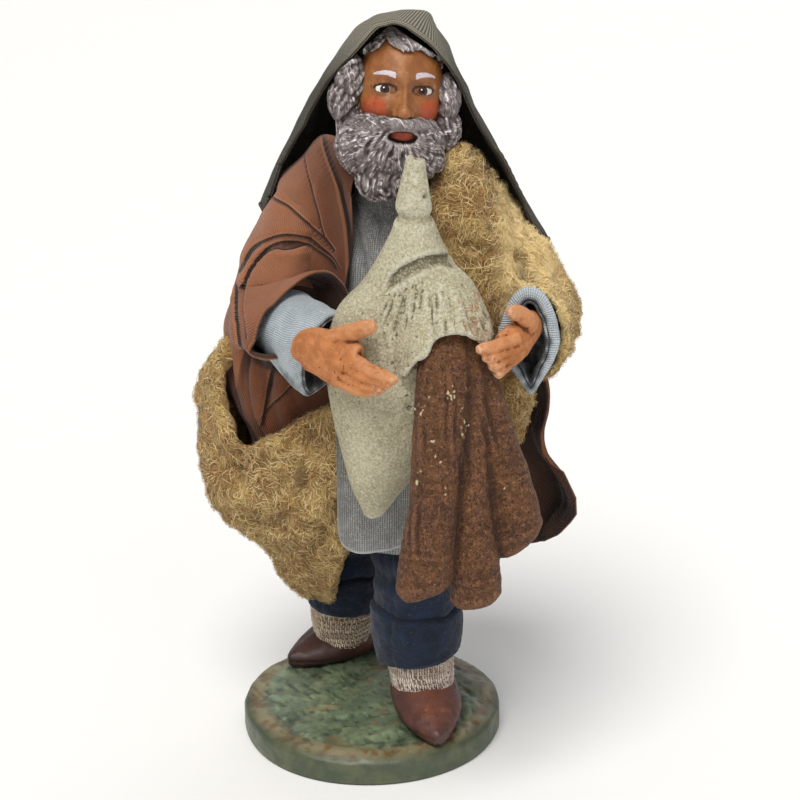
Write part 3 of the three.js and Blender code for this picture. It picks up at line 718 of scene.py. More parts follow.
def makeShoePaint():
    paint = Paint("varnishedShoe", Coat_Weight=0.16, Coat_Roughness=0.42)
    x, _, z = paint.axes()
    top = paint.value("top")
    paint.ground((6, 4, 0.6, 0.4), 0.35, 0.66, "#43241d", "#603428")
    paint.coats(
        (top, None, None, 0.6, "#7f4a34"),
        ((3.2, 4, 0.7, 0.6), 0.55, 0.68, top * 0.55, "#b06e48"),
        ((2.4, 4, 0.65, 0.3), 0.54, 0.7, 0.5, "#33201f"),
        (z, 10.8, 8.9, 0.7, "#2e211c"),
        # painted shade: the right shoe, set back under the coat, is darker
        (x, -2, -10, 0.7, "#2a110b"),
        ((0.9, 3, 0.6, 0.2), 0.73, 0.76, 0.9, "#c98a5c"),
        ((0.45, 2, 0.5), 0.69, 0.75, 0.4, "#b99a86"),
    )
    return paint.finish((2, 0.4, 0.6), (0.55, 4, 0.6), 0.1)


shoePaint = makeShoePaint()
for side in shoeSet:
    makeShoe(side)

sockSet = {
    "left": {"ankle": (14.6, -8.5), "lean": (-1.6, 0.8), "low": 8.3, "high": 19.6,
             "courses": 8, "wales": 40, "yarn": 0.27, "seed": 21, "dip": 1.3,
             "colours": ("#c0a893", "#e6d7c8")},
    "right": {"ankle": (-9.4, 25), "lean": (0.6, -3), "low": 6.6, "high": 21,
              "courses": 9, "wales": 38, "yarn": 0.27, "seed": 22, "dip": 0.5,
              "colours": ("#c8a98c", "#f0dcc2")},
}
sockWidths = [[3, 7.1], [8.5, 8.3], [13, 8.7], [17.5, 9.0], [24, 8.8]]


# A sock knitted in real loops over a thin dark lining.
def makeSock(side):
    s = sockSet[side]
    x, y = s["ankle"]
    leanX, leanY = s["lean"]

    def ringAt(turn, height, grow=0.0):
        share = np.clip((height - 8.5) / 15.5, 0, 1)
        reach = readTable(sockWidths, height)[..., 0] + grow
        middleX, middleY = x + leanX * share, y + leanY * share
        return np.stack([middleX + reach * np.cos(turn), middleY + reach * np.sin(turn), height], -1)

    turn = circle(64)
    heights = np.linspace(s["low"] - 3.2, s["high"] + 2.5, 20)
    wall = ringAt(*np.broadcast_arrays(turn, heights[:, None]), -0.45)
    wall[..., :2] += (lumps(wall, 3.4, s["seed"]) * 0.25)[..., None]
    lining = bodyOf("sockLining", wall)
    strips = []
    steps = 8
    pitch = (s["high"] - s["low"]) / s["courses"]
    for course in range(s["courses"] + 1):
        t = np.linspace(0, 2 * np.pi * s["wales"], s["wales"] * steps, endpoint=False)
        around = t / s["wales"] + 0.018 * np.sin(2 * t) * 42 / s["wales"]
        around += 0.6 * np.pi / s["wales"] * np.sin(course * 1.7)
        rise = s["low"] + pitch * (course - 0.02) + 0.62 * pitch * np.cos(t)
        sag = s["dip"] * np.abs(np.sin(around * 5.5 + 1)) * (1 - course / s["courses"]) ** 2
        wander = lumps(np.stack([np.cos(around) * 9, np.sin(around) * 9, rise], -1), 3, s["seed"])
        rise = rise - sag + 0.35 * pitch * wander
        bulge = s["yarn"] * (0.7 + 1.1 * np.sin(t) ** 2) + 0.25 * wander
        line = ringAt(around, rise, bulge)
        strips.append(sheetOf("course", tubeRows(line, s["yarn"], 4, closed=True), wrap=True))
    knit = joined("knitSock_" + side, lining, *strips)
    weld(knit)
    toMetres(knit, "sock_" + side, sockPaint(side))


def sockPaint(side):
    paint = Paint("knitYarn_" + side, Sheen_Weight=0.3)
    paint.ground((2.6, 4, 0.6), 0.35, 0.65, *sockSet[side]["colours"])
    fibres = paint.noise(0.28, 3, 0.7, 0, (1, 1, 2.2))
    paint.coats(
        ((2.2, 3, 0.6, 0, (0.25, 0.25, 1)), 0.5, 0.62, 0.5, "#8a6450"),
        (fibres, 0.42, 0.7, 0.35, "#f2e8dc"),
    )
    return paint.finish(0.9, fibres, 0.1)


for side in sockSet:
    makeSock(side)


trouserSet = {
    "left": [
        [13.3, -7.8, 17.2, 10.9, 10.9], [13.1, -7.8, 19, 11.9, 11.9], [12.9, -7.8, 25, 12.7, 12.7],
        [12.7, -7.8, 31.6, 12.5, 12.5], [12.6, -7.7, 36, 12.1, 12], [12.4, -7.4, 44, 12, 11.8],
        [7.6, -2, 60, 11, 11],
    ],
    "right": [
        [-8.6, 22.2, 18.5, 10.3, 10.3], [-8.5, 22.1, 20.5, 11.2, 11.2], [-8.3, 21, 25, 11.6, 11.6],
        [-8.1, 19.8, 30, 11.6, 11.6], [-7.4, 18.2, 36, 11.3, 11.3], [-6.4, 16.4, 43, 11.4, 11.4],
        [-0.6, 7, 60, 11, 11],
    ],
    "turnUp": {"left": 31.8, "right": 30.4},
    "depth": 0.95,
}


# Each leg is a felt tube, rolled under at its mouth, with a turn-up that stands off it.
def makeLeg(side, seed):
    stations = trouserSet[side]
    fold = trouserSet["turnUp"][side]
    sides = 110
    rows = rings(stations, sides, 14)
    angle, height = circle(sides)[None, :], rows[..., 2]
    _, out = outOf(rows, level=True)
    wavy = fold + 0.55 * np.sin(angle * 2 + seed) + 0.35 * np.sin(angle * 5 + 2 * seed)
    lip = ramp(wavy - height, -0.25, 0.35) * trouserSet["depth"] - 0.75
    groove = -0.55 * hill(height - wavy - 0.35, 0.55)
    folds = 0.55 * np.sin(angle * 3 + height * 0.11 + seed) * ramp(height, 26, 44)
    sag = 0.5 * np.sin(height * 0.75 + 1.6 * np.sin(angle + seed)) * ramp(height, 33, 40)
    seam = -0.35 * hill(np.mod(angle - 4.1 + np.pi, 2 * np.pi) - np.pi, 0.05)
    nap = roughness(rows, 2.6, 3, 31 + seed) * 0.3
    rows = rows + out * (lip + groove + folds + sag + seam + nap)[..., None]
    steps = [(1.4, 6), (1.3, 2), (1.25, 0.3), (0.9, -0.3), (0.35, -0.35)]
    return bodyOf("leg", lined(rows, out, steps))


def makeTrousers():
    legs = [makeLeg("left", 1), makeLeg("right", 4)]
    piece = joined("feltTrousers", *legs)
    markRelief(piece, 6)
    paint = Paint("navyFelt", Sheen_Weight=0.18, Sheen_Roughness=0.4)
    bumpy = paint.noise(0.9, 5, 0.72, 0.8)
    paint.ground((5, 4, 0.6, 0.3), 0.35, 0.68, "#0a1425", "#15233a")
    # the relief coat is painted shade in the felt's folds
    paint.coats((bumpy, 0.5, 0.72, 0.6, "#223454"), ("relief", -0.01, -0.12, 0.8, "#0b0f18"))
    for turn, size in ((0, 0.5), (1, 0.62), (2, 0.45)):
        sockets = {"Vector": paint.spot, "Rotation": (turn, turn * 2, turn * 1.3)}
        turned = paint.node("ShaderNodeMapping", {}, sockets)
        paint.coats(((size, 2, 0.5, 0.8, (0.22, 2.4, 1), turned), 0.71, 0.76, 0.45, "#6f7d94"))
    toMetres(piece, "trousers", paint.finish(0.95, bumpy, 0.3))


makeTrousers()


handSet = {
    "right": {
        "palm": [[-17.6, -31.4, 112.6, 4.4, 3.2], [-14.6, -34.6, 112.6, 5.4, 3.8],
                 [-11, -38.6, 112.8, 6.2, 4.1],
                 [-6.4, -42.8, 112, 7, 4], [-2.2, -45.4, 110.8, 5.8, 3]],
        "fingers": [[[-3.4, -45.6, 113.4], [7.6, -49.4, 108.6]],
                    [[-5.2, -44.8, 107.4], [3.6, -48.2, 105.8]]],
        "bow": (0, -1.2, -0.7), "thick": 2.0,
        "thumb": [[-10, -40.6, 114.4, 3.2, 3], [-7.4, -42.4, 117, 2.8, 2.6],
                  [-3, -44.8, 119.6, 2.3, 2.1],
                  [1, -46.4, 121.2, 1.9, 1.7], [2.5, -47, 121.9, 1.1, 1.0]],
    },
    "left": {
        "palm": [[41.8, -29, 118, 3.3, 2.9], [40.6, -33, 118.4, 3.8, 3.1], [38.8, -37.6, 118, 4.3, 3.3],
                 [36.2, -41.4, 116.2, 5.1, 3.3], [33, -44.6, 114.6, 4.9, 2.7]],
        "fingers": [[[34.4, -44.8, 117.6], [26.2, -49, 116.3]],
                    [[33.8, -44.4, 111.4], [30.8, -48, 109.9]]],
        "bow": (-0.8, -1.4, -0.5), "thick": 1.8,
        "thumb": [[39.4, -40, 119.4, 2.5, 2.4], [38.8, -41.4, 121.6, 2.3, 2.2],
                  [37, -43, 123.6, 2.1, 1.9],
                  [34.8, -44.2, 124.2, 1.9, 1.7], [33.6, -44.6, 123.8, 1.1, 1.0]],
    },
}


# A modelled hand: fingers pressed together, with grooves drawn between them.
def makeHand(side, seed):
    s = handSet[side]
    up = (0, 0, 1)
    parts = [bodyOf("palm", rings(s["palm"], 36, 10, up)),
             bodyOf("thumb", rings(s["thumb"], 28, 10, up))]
    (rootA, tipA), (rootB, tipB) = np.array(s["fingers"], float)
    for i in range(4):
        share = i / 3
        root, tip = rootA + (rootB - rootA) * share, tipA + (tipB - tipA) * share
        root = root + (root - tip) * 0.25
        thick = s["thick"] * (0.9 if i == 3 else 1)
        middle = (root + tip) / 2 + np.array(s["bow"])
        joint = tip + (middle - tip) * 0.35
        line = [[*root, thick, thick * 0.92], [*middle, thick * 1.02, thick],
                [*joint, thick * 0.86, thick * 0.84],
                [*tip, thick * 0.5, thick * 0.46]]
        parts.append(bodyOf("finger", rings(line, 24, 10, up)))
    piece = fused("clayHand_" + side, parts, 0.36, 3)
    p = points(piece)
    p += normals(piece) * (roughness(p, 1.9, 3, seed) * 0.1 - 0.03)[:, None]
    pits = np.minimum(lumps(p, 0.75, seed + 5) + 0.62, 0)
    p += normals(piece) * (pits * 0.7)[:, None]
    setPoints(piece, p)
    markRelief(piece, 16)
    away = nearest(p, (tipA, tipB, (tipA + tipB) / 2, s["thumb"][-1][:3]))
    setValue(piece, "tip", ramp(away, 4.2, 0.8))
    toMetres(piece, "hand_" + side, clayPaint)


# Bare fired clay: sandy, with painted shade in the grooves, paler where it is rubbed.
def makeClayPaint():
    paint = Paint("bareTerracotta", Specular_IOR_Level=0.35)
    paint.ground((5, 4, 0.6), 0.34, 0.66, "#b06c3c", "#cc8450")
    paint.coats(
        ((1.3, 4, 0.7), 0.5, 0.75, 0.5, "#d99868"),
        # painted shade in the grooves between the fingers
        ("relief", -0.01, -0.11, 0.92, "#5a2f18"),
        ("relief", 0.02, 0.12, 0.35, "#e2ab80"),
        ((1.1, 3, 0.7), 0.45, 0.6, paint.value("tip") * 0.7, "#e8c0a0"),
        ((0.32, 2, 0.5), 0.68, 0.74, 0.7, "#5a3322"),
        ((0.26, 2, 0.5), 0.7, 0.76, 0.5, "#efc9a4"),
    )
    return paint.finish(0.86, (0.55, 5, 0.75), 0.32)


clayPaint = makeClayPaint()
makeHand("right", 41)
makeHand("left", 47)


bagSet = {
    "body": [
        [0.5, -29.5, 66, 0.8, 0.8], [0.8, -29.6, 67.4, 2.5, 2.8], [1.5, -29.8, 70, 4.1, 4.7],
        [2.4, -30.4, 77, 7.8, 7.4], [4.8, -31, 88, 13.2, 9.9], [7.4, -31.4, 100, 17.9, 11.3],
        [9.6, -31.8, 112, 19.5, 11.5], [11, -32.6, 121, 17.9, 10.5], [11.6, -34, 129, 12.6, 9.1],
        [11.6, -36, 138, 7.6, 6.8], [11.5, -37.3, 143.6, 5.2, 5.0], [11.5, -37.6, 145, 4.8, 4.7],
        [11.5, -37.8, 145.6, 3.9, 3.9], [11.5, -37.9, 146.6, 3.7, 3.7], [11.5, -38, 147.4, 3.8, 3.8],
    ],
    "mouthpiece": [
        [11.5, -38, 146.4, 3.6, 3.6], [11.5, -38.1, 147.7, 3.7, 3.7], [11.45, -38.1, 148.1, 4.3, 4.3],
        [11.45, -38.1, 148.6, 4.4, 4.4], [11.5, -38.2, 149.4, 4.25, 4.25],
        [11.6, -38.5, 154.2, 3.35, 3.35],
        [11.75, -38.8, 160.6, 2.25, 2.25], [11.75, -38.8, 161.4, 2.1, 2.1],
    ],
    "collar": [
        [11.4, -33.4, 133.6, 4, 4], [12.4, -34.4, 131.4, 7, 6.6], [16, -36.9, 125.6, 10.6, 8.5],
        [18, -39.4, 119.6, 11.8, 9.5], [18.8, -40.6, 116.4, 12, 9.5], [19.2, -41.2, 113.6, 12, 9.4],
    ],
    # the slot's upper and lower edge as seen from the front, [x, z]
    "slot": [[4.6, 129.4], [5.1, 131], [5.9, 132.4], [8.2, 134.6], [12, 136.6], [15.3, 137.5],
             [19.1, 137.2], [21.3, 135.8], [22.1, 134.2]],
    "ledge": [[4.6, 129], [7.1, 130.6], [10.9, 133], [14.7, 134.6], [18, 135.4], [22.1, 133.8]],
    # the collar's lower edge as seen from the front, [x, z]
    "rim": [
        [7.4, 108.2], [9.4, 109.1], [11.5, 112.9], [13, 114], [14.7, 115.2], [15.6, 117.3], [16.9, 119],
        [18.3, 120],
        [20.1, 120.6], [21.9, 120.5], [23.9, 120.1], [25.7, 119.4], [27.2, 118.1], [28.9, 116.8],
        [31.4, 117.6],
    ],
    "gougeCount": 26,
    # [x, z, reach, depth]
    "marks": [[14.2, 151.6, 0.45, -0.9], [9.8, 103.4, 0.9, 0.6], [9.9, 103.2, 0.4, -1.2],
              [10.4, 99.8, 0.55, -0.8]],
}


def makeBag():
    s = bagSet
    body = bodyOf("body", rings(s["body"], 120, 10))
    nozzle = bodyOf("nozzle", rings(s["mouthpiece"], 64, 8))
    sides = 120
    skirt = rings(s["collar"], sides, 10)
    angle = circle(sides)
    rim = readTable(s["rim"], np.clip(skirt[-1][:, 0], 7.4, 31.4))[:, 0]
    edge = np.where(np.sin(angle) > -0.15, rim - skirt[-1][:, 2], 0.4)
    edge += 0.2 * np.sin(angle * 11) + 0.15 * np.sin(angle * 23 + 1)
    drop = np.linspace(0, 1, len(skirt))[:, None] ** 2
    skirt[..., 2] += edge[None, :] * drop
    bottom = skirt[-1]
    middle = bottom.mean(axis=0)
    steps = ((0.93, -0.1), (0.86, 0.3), (0.8, 1.6), (0.68, 3.4))
    inside = [middle + (bottom - middle) * share + (0, 0, rise) for share, rise in steps]
    collar = bodyOf("collar", np.concatenate([skirt, inside]))
    piece = fused("clayBag", [body, nozzle, collar], 0.55, 3)
    p = points(piece)
    x, y, z = p.T
    n = normals(piece)
    front = ramp(y, -33, -37)
    flat = p[:, [0, 2]]
    # the crescent slot: undercut above, running out below
    lip, ledge = (np.interp(x, *np.array(s[name]).T) for name in ("slot", "ledge"))
    below = lip - z
    share = below / np.maximum(lip - ledge + 0.6, 0.6)
    span = ramp(x, 4.2, 6.4) * ramp(x, 22.4, 20.4) * front
    cut = ramp(below, -0.3, 0.2) * ramp(share, 1.15, 0.6) * span
    p += n * (-1.0 * cut)[:, None]
    # gouges drawn down the collar with a point
    rng = np.random.default_rng(5)
    gouges = np.zeros(len(p))
    for i in range(s["gougeCount"]):
        across = 5.2 + 24.5 * (i + rng.uniform(-0.9, 0.9)) / s["gougeCount"]
        slope = (across - 15) * 0.045
        top = 131 - abs(across - 15) * 0.42 + rng.uniform(-3.4, 1.2)
        low = top - rng.uniform(3, 10)
        line = [[across, top],
                [across + slope * (top - low) * 0.5 + rng.uniform(-0.5, 0.5), (top + low) / 2],
                [across + slope * (top - low), low]]
        away, along = fromLine(flat, spline(line, 8))
        width = rng.uniform(0.3, 0.62) * (0.55 + 0.45 * slimEnds(along, 0.05, 0.95))
        gouge = hill(away, width) * rng.uniform(0.5, 1.0) * slimEnds(along, 0.12, 0.9)
        gouges = np.maximum(gouges, gouge)
    onCollar = ramp(y, -38, -42) * ramp(z, 133.4, 131) * ramp(z, 108, 112)
    p += n * (-0.6 * gouges * onCollar)[:, None]
    spread = x - (z - 120) * 0.05 * (x - 15) / 6
    ribs = lumps(np.stack([spread, z * 0.16, y * 0.2], -1), (1.5, 1, 1), 51)
    p += n * (0.28 * ribs * onCollar * ramp(z, 131, 126))[:, None]
    # pits of burst air bubbles, a pinhole and a wart
    pits = np.minimum(lumps(p, 1.0, 52) + 0.78, 0) * 2.2 * (lumps(p, 9, 53) > -0.35)
    pits += np.minimum(lumps(p, 0.8, 54) + 0.55, 0) * 1.3 * onCollar
    p += n * pits[:, None]
    soft = roughness(p, 8, 3, 55) * 0.18 + roughness(p, 1.3, 2, 56) * 0.06
    p += n * soft[:, None]
    for atX, atZ, reach, depth in s["marks"]:
        here = hill(np.hypot(x - atX, z - atZ), reach) * (y < -36)
        p += n * (depth * here)[:, None]
    # the chipped notch and the crack in the mouthpiece
    chipped = np.interp(x, [9.2, 9.9, 10.7, 11.7, 14], [159.4, 160.6, 161, 160.1, 159.9])
    z[:] = np.minimum(z, chipped)
    away, along = fromLine(p[:, [0, 2]], [[11.9, 160.6], [11, 159], [10.2, 157.6], [9.9, 156]])
    p += n * (-0.35 * hill(away, 0.24) * (y < -38.5) * (1 - along * 0.7))[:, None]
    setPoints(piece, p)
    markRelief(piece, 12)
    setValue(piece, "dug", gouges * onCollar)
    setValue(piece, "below", np.clip(below, -3, 6))
    # the undercut ledge, kept for its painted shade
    setValue(piece, "ledge", ramp(share, 1.1, 0.8) * ramp(below, -0.1, 0.2) * span)
    setValue(piece, "slotSpan", span)

    paint = Paint("palePaintedClay", Specular_IOR_Level=0.3)
    x, _, z = paint.axes()
    below, sand = paint.value("below"), paint.noise(0.62, 3, 0.7)
    left = paint.band(x, 20, 27) * paint.band(z, 112, 118) * paint.band(z, 141, 134)
    lip = paint.band(below, -0.25, -0.05) * paint.value("slotSpan")
    paint.ground((11, 4, 0.6), 0.35, 0.66, "#b7ad8c", "#cdc4a4")
    paint.coats(
        ((1.5, 4, 0.65, 0.4, (1, 1, 0.35)), 0.4, 0.7, 0.5, "#cbc6ab"),
        # darker in the hollows, and a painted highlight on the crests
        ("relief", -0.02, -0.2, 0.85, "#5f5a45"),
        ("relief", 0.03, 0.16, 0.55, "#dedac4"),
        ((2.6, 4, 0.7, 0.5), 0.46, 0.6, left * 0.8, "#a8673c"),
        ((3.4, 5, 0.7, 0.8), 0.6, 0.72, paint.band(z, 108, 130) * 0.5, "#8a7350"),
        ((1.2, 3, 0.6), 0.4, 0.6, paint.value("dug") * 0.55, "#6e5c3e"),
        # painted shade on the undercut ledge, and a painted shadow under the slot's lip
        ("ledge", None, None, 0.6, "#827a5e"),
        (below, 0.4, 0.15, lip * 0.6, "#38322a"),
        ((0.42, 2, 0.5), 0.7, 0.77, 0.75, "#6d6248"),
        (sand, 0.49, 0.39, 0.4, "#7d755b"),
        (sand, 0.52, 0.62, 0.55, "#e6e0ca"),
    )
    toMetres(piece, "bag", paint.finish((3, 0.68, 0.86), (0.95, 4, 0.72), 0.9))


makeBag()


pipeSet = {
    "front": [
        [19.4, -41.6, 119, 5.2, 4.9], [18.8, -44.6, 113.4, 6.3, 5.3], [18.2, -47, 104, 6.8, 5.5],
        [17.6, -48, 94, 6.9, 5.5],
        [16.8, -48.9, 84, 6.7, 5.5], [16.2, -49.6, 76, 6.7, 5.5], [15.3, -50.4, 68, 7.2, 5.8],
        [14.5, -51, 61, 7.5, 5.9],
        [13.9, -51.5, 56.6, 7, 5.3], [13.8, -51.7, 54.4, 5.6, 4], [13.9, -51.8, 53.6, 3.2, 2.2],
    ],
    "middle": [
        [22, -41.2, 119, 4.8, 4.6], [24, -43.4, 108, 5, 4.6], [24.8, -44.2, 96, 5.1, 4.7],
        [25.4, -44.8, 84, 5.2, 4.8],
        [26.1, -45.5, 72, 5.8, 5.2], [26.8, -46, 62, 6.6, 5.6], [27.2, -46.3, 54.6, 6.8, 5.4],
        [27.5, -46.4, 51, 6.2, 4.9],
        [27.6, -46.5, 49.4, 5, 3.6], [27.6, -46.5, 48.7, 3, 2],
    ],
    "right": [
        [23.4, -40.6, 119, 5, 4.8], [26.6, -41, 107, 5.7, 4.9], [29, -41.2, 98.6, 6.1, 5.1],
        [31.4, -41.4, 90, 6.5, 5.1],
        [33.8, -41.5, 82.4, 7, 5.3], [36.2, -41.6, 73, 7.3, 5.4], [37.6, -41.6, 66.4, 6.9, 5.1],
        [38.2, -41.6, 63.6, 5.6, 4.2],
        [38.5, -41.6, 62.4, 3.4, 2.4],
    ],
    "tilt": {"front": 10, "middle": 9, "right": 22},
    "marks": {"front": [106.6, 84.6, 66.4], "middle": [92, 72, 58.5], "right": [97, 84, 73]},
}


# Three flared pipes of rough clay, with scored rings and a ragged rim.
def makePipes():
    parts = []
    for name in ("front", "middle", "right"):
        stations = np.array(pipeSet[name], float)
        rows = rings(stations, 72, 9)
        height = rows[..., 2]
        angle = circle(72)[None, :]
        middle, out = outOf(rows)
        push = 0.3 * np.sin(angle * 2 + height * 0.06) - 0.35 * np.clip(np.cos(angle * 2), 0, 1)
        for level in pipeSet["marks"][name]:
            wander = level + 0.7 * np.sin(angle * 2 + level) + (rows[..., 0] - middle[..., 0]) * 0.05
            push = push - 0.3 * hill(height - wander, 0.4) + 0.15 * hill(height - wander + 0.9, 0.6)
            push = push - 0.25 * hill(height - wander + 1.9, 0.35)
        lip = stations[-3, 2]
        push = push + 0.35 * hill(height - lip - 0.8, 0.9)
        rows = rows + out * push[..., None]
        lean = math.tan(math.radians(pipeSet["tilt"][name]))
        low = ramp(height, lip + 12, lip + 1)
        rows[..., 2] += (rows[..., 0] - middle[..., 0]) * lean * low
        parts.append(bodyOf("pipe", rows))
    piece = fused("clayPipes", parts, 0.55, 2)
    p = points(piece)
    n = normals(piece)
    p += n * (roughness(p, 5.5, 3, 61) * 0.16 + roughness(p, 1.1, 2, 62) * 0.08)[:, None]
    p += n * (np.minimum(lumps(p, 0.9, 63) + 0.6, 0) * 0.45)[:, None]
    flat = p[:, [0, 2]]
    for line in ([[19.6, 112], [20.4, 104], [20.2, 97], [21, 90]], [[12.6, 101], [13, 95], [12.8, 90]],
                 [[27.5, 104], [29.6, 96], [31.5, 89]],
                 [[12.2, 80], [11.4, 72], [11.8, 66]], [[23.6, 92], [24, 84]]):
        away, along = fromLine(flat, spline(line, 12))
        seam = (0.35 * hill(away, 0.5) - 0.25 * hill(away - 1.1, 0.4)) * (p[:, 1] < -44)
        p += n * (seam * slimEnds(along, 0.08, 0.92))[:, None]
    glue = glueMask(p)
    p += n * (glue * 0.4)[:, None]
    setPoints(piece, p)
    markRelief(piece, 10)
    setValue(piece, "glue", glue)

    paint = Paint("brownPipeClay", Specular_IOR_Level=0.4)
    high = paint.band(paint.value("relief"), -0.05, 0.06)
    paint.ground((8, 4, 0.6), 0.34, 0.66, "#482915", "#66411f")
    paint.coats(
        ("relief", 0.0, 0.12, 0.5, "#8a5c41"),
        ("relief", -0.02, -0.14, 0.55, "#2c1710"),
        ((0.62, 3, 0.7, 0.3), 0.56, 0.66, 0.4, "#98603d"),
        ((0.36, 2, 0.55), 0.66, 0.72, 0.55, "#b98a66"),
        ((0.55, 3, 0.7), 0.52, 0.6, 0.85, "#24120c"),
        ((0.9, 4, 0.7), 0.55, 0.64, high * 0.6, "#a5754c"),
        ((4.6, 4, 0.7, 1, (1, 1, 0.5)), 0.6, 0.7, 0.3, "#96603d"),
        ("glue", 0.3, 0.55, 1, "#d3c39c"),
    )
    rough = paint.band(paint.value("glue"), 0.3, 0.6, 0.68, 0.4)
    toMetres(piece, "pipes", paint.finish(rough, (0.6, 5, 0.78), 0.5))


# Crumbs of dried glue below the collar and down the front pipe.
def glueMask(p):
    rng = np.random.default_rng(11)
    mask = np.zeros(len(p))
    x, y, z = p.T
    tracks = [([[15.6, 107], [15.4, 100], [16.2, 94], [16.6, 90]], 16),
              ([[20, 108], [21.6, 103], [23.4, 97], [24.2, 93]], 26),
              ([[13.2, 103], [12.8, 98]], 8), ([[12, 88], [13.5, 84]], 7), ([[17, 84], [20, 80]], 5),
              ([[31, 93], [34, 80]], 6)]
    front = y < -43
    for line, count in tracks:
        line = spline(line, 30)
        for _ in range(count):
            atX, atZ = line[rng.integers(len(line))] + rng.normal(0, 0.75, 2)
            reach = rng.uniform(0.12, 0.36)
            stretch = rng.uniform(0.7, 2.2)
            crumb = hill(np.hypot(x - atX, (z - atZ) / stretch), reach)
            mask = np.maximum(mask, crumb * front)
    return mask * ramp(lumps(p, 0.55, 64), -0.5, 0.1)


makePipes()


shirtSet = {
    # the part that shows between the fleece and the bag, seen from the front
    "flap": {
        "left": -8.3, "right": 13, "top": 93,
        "hem": [[-8.3, 61], [-8.0, 57.4], [-7.2, 55], [-6, 53.6], [-4.2, 52.6], [-1.8, 52.3], [3, 52.7],
                [8.9, 54.2], [13, 54.8]],
    },
    "body": [
        [4.6, 2.2, 54.4, 21.8, 21.8], [5, 1.8, 58, 21.5, 21.5], [5.4, 1.4, 62, 21, 21],
        [6.5, 0.5, 76, 19.3, 19.5],
        [7.5, 0.5, 94, 18.1, 18.7], [8, 0.5, 112, 18.9, 16.9], [8, 0, 130, 18.8, 14.4],
        [7.6, -1, 141, 14.8, 11.6], [6.9, -2.2, 146.6, 11, 9.8],
    ],
    "collar": [[7, -2.4, 144.6, 10.4, 9.4], [6.7, -2.8, 148, 9.6, 9.2], [6.5, -3.4, 151, 9.3, 9.4],
               [6.4, -3.8, 153.2, 9.4, 9.9]],
    "right": [
        [-22, -3.6, 124, 7.9, 8.5], [-23.2, -10, 115, 9.3, 9.9], [-20.4, -18, 112.8, 9.7, 10.5, -8],
        [-16.4, -25.6, 112, 9.1, 11.3, -18], [-13.2, -29.8, 111.2, 8.5, 11.4, -25],
        [-10.4, -33.4, 110.6, 7.6, 11.2, -30],
    ],
    "left": [
        [42.4, -5, 114.6, 7.1, 7.9], [42.6, -14, 111.6, 6.7, 9.9], [41.4, -25, 113.2, 6.9, 11.9, 6],
        [40.6, -31, 114, 7.2, 12.6, 3], [40, -36.4, 114.8, 7.7, 13.4, 2],
    ],
}


def knitPaint(name, colours, rib, row, dark):
    paint = Paint(name, Sheen_Weight=0.25)
    ribs, rows = clothHeight(paint, rib, row)
    paint.ground((7, 4, 0.6), 0.34, 0.66, *colours)
    paint.coats(
        (ribs, 0.5, 0.08, 0.6, dark),
        (rows, 0.45, 0.1, 0.3, dark),
        # painted shade round the shirt's neck, under the beard
        (paint.axes()[2], 136, 152, paint.value("main") * 0.5, "#3a3430"),
        ((0.5, 2, 0.6), 0.5, 0.7, 0.3, "#dfe3e8"),
        # painted shade in the folds
        ("relief", -0.02, -0.3, 0.45, dark),
        # painted shade in the cuffs' hollow mouths
        ("inside", None, None, 0.86, "#1d1f23"),
        ("trim", None, None, 0.6, "#c2c6ca"),
    )
    return paint.finish(0.92, ribs * 0.6 + rows * 0.25 + paint.noise(0.3, 2, 0.6) * 0.3, 0.24)


def makeShirtBody():
    s = shirtSet
    sides = 100
    rows = rings(s["body"], sides, 9)
    angle = circle(sides)[None, :]
    height = rows[..., 2]
    _, out = outOf(rows, level=True)
    low = ramp(height, 100, 55)
    folds = 0.03 * 21 * np.sin(3 * angle + 1) * ramp(height, 76, 52)
    folds = folds + 0.5 * low * np.sin(7 * angle + height * 0.03)
    folds = folds + 0.3 * low * np.sin(12 * angle + 2 - height * 0.05)
    top = ramp(height, 112, 128)
    front = -np.sin(angle)
    vees = np.abs(rows[..., 0] - 5.2) * 1.2 + (148 - height) * 0.3
    folds = folds + top * 0.5 * np.sin(vees * 0.85) * (front > 0)
    hem = -0.35 * hill(height - rows[0, :, 2].mean() - 2.2, 0.22)
    nap = roughness(rows, 3.4, 3, 71) * 0.22
    rows = rows + out * (folds + hem + nap)[..., None]
    rows[:14, :, 2] += (0.5 * np.sin(3 * angle + 2) * np.linspace(1, 0, 14)[:, None] ** 2)
    steps = ((1.3, 7), (1.1, 2.5), (1.0, 0.4), (0.75, -0.15), (0.25, -0.2))
    body = bodyOf("shirtBody", lined(rows, out, steps))
    # a stand-up band that opens in a small vee below the beard
    ring = rings(s["collar"], 120, 8)
    turn = circle(120)
    gap = np.abs(np.mod(turn - math.radians(262) + np.pi, 2 * np.pi) - np.pi)
    drop = 5.6 * ramp(gap, 0.5, 0.03) ** 0.8
    up = np.linspace(0, 1, len(ring))[:, None]
    ring[..., 2] -= drop * up
    ring[..., 1] -= 0.5 * ramp(gap, 0.9, 0.1) * up
    ring += (lumps(ring, 4, 72) * 0.2)[..., None]
    collar = sheetOf("collarBand", ring, wrap=True)
    modify(collar, "SOLIDIFY", thickness=0.95, offset=0)
    modify(collar, "SUBSURF", levels=1, render_levels=1)
    return body, collar


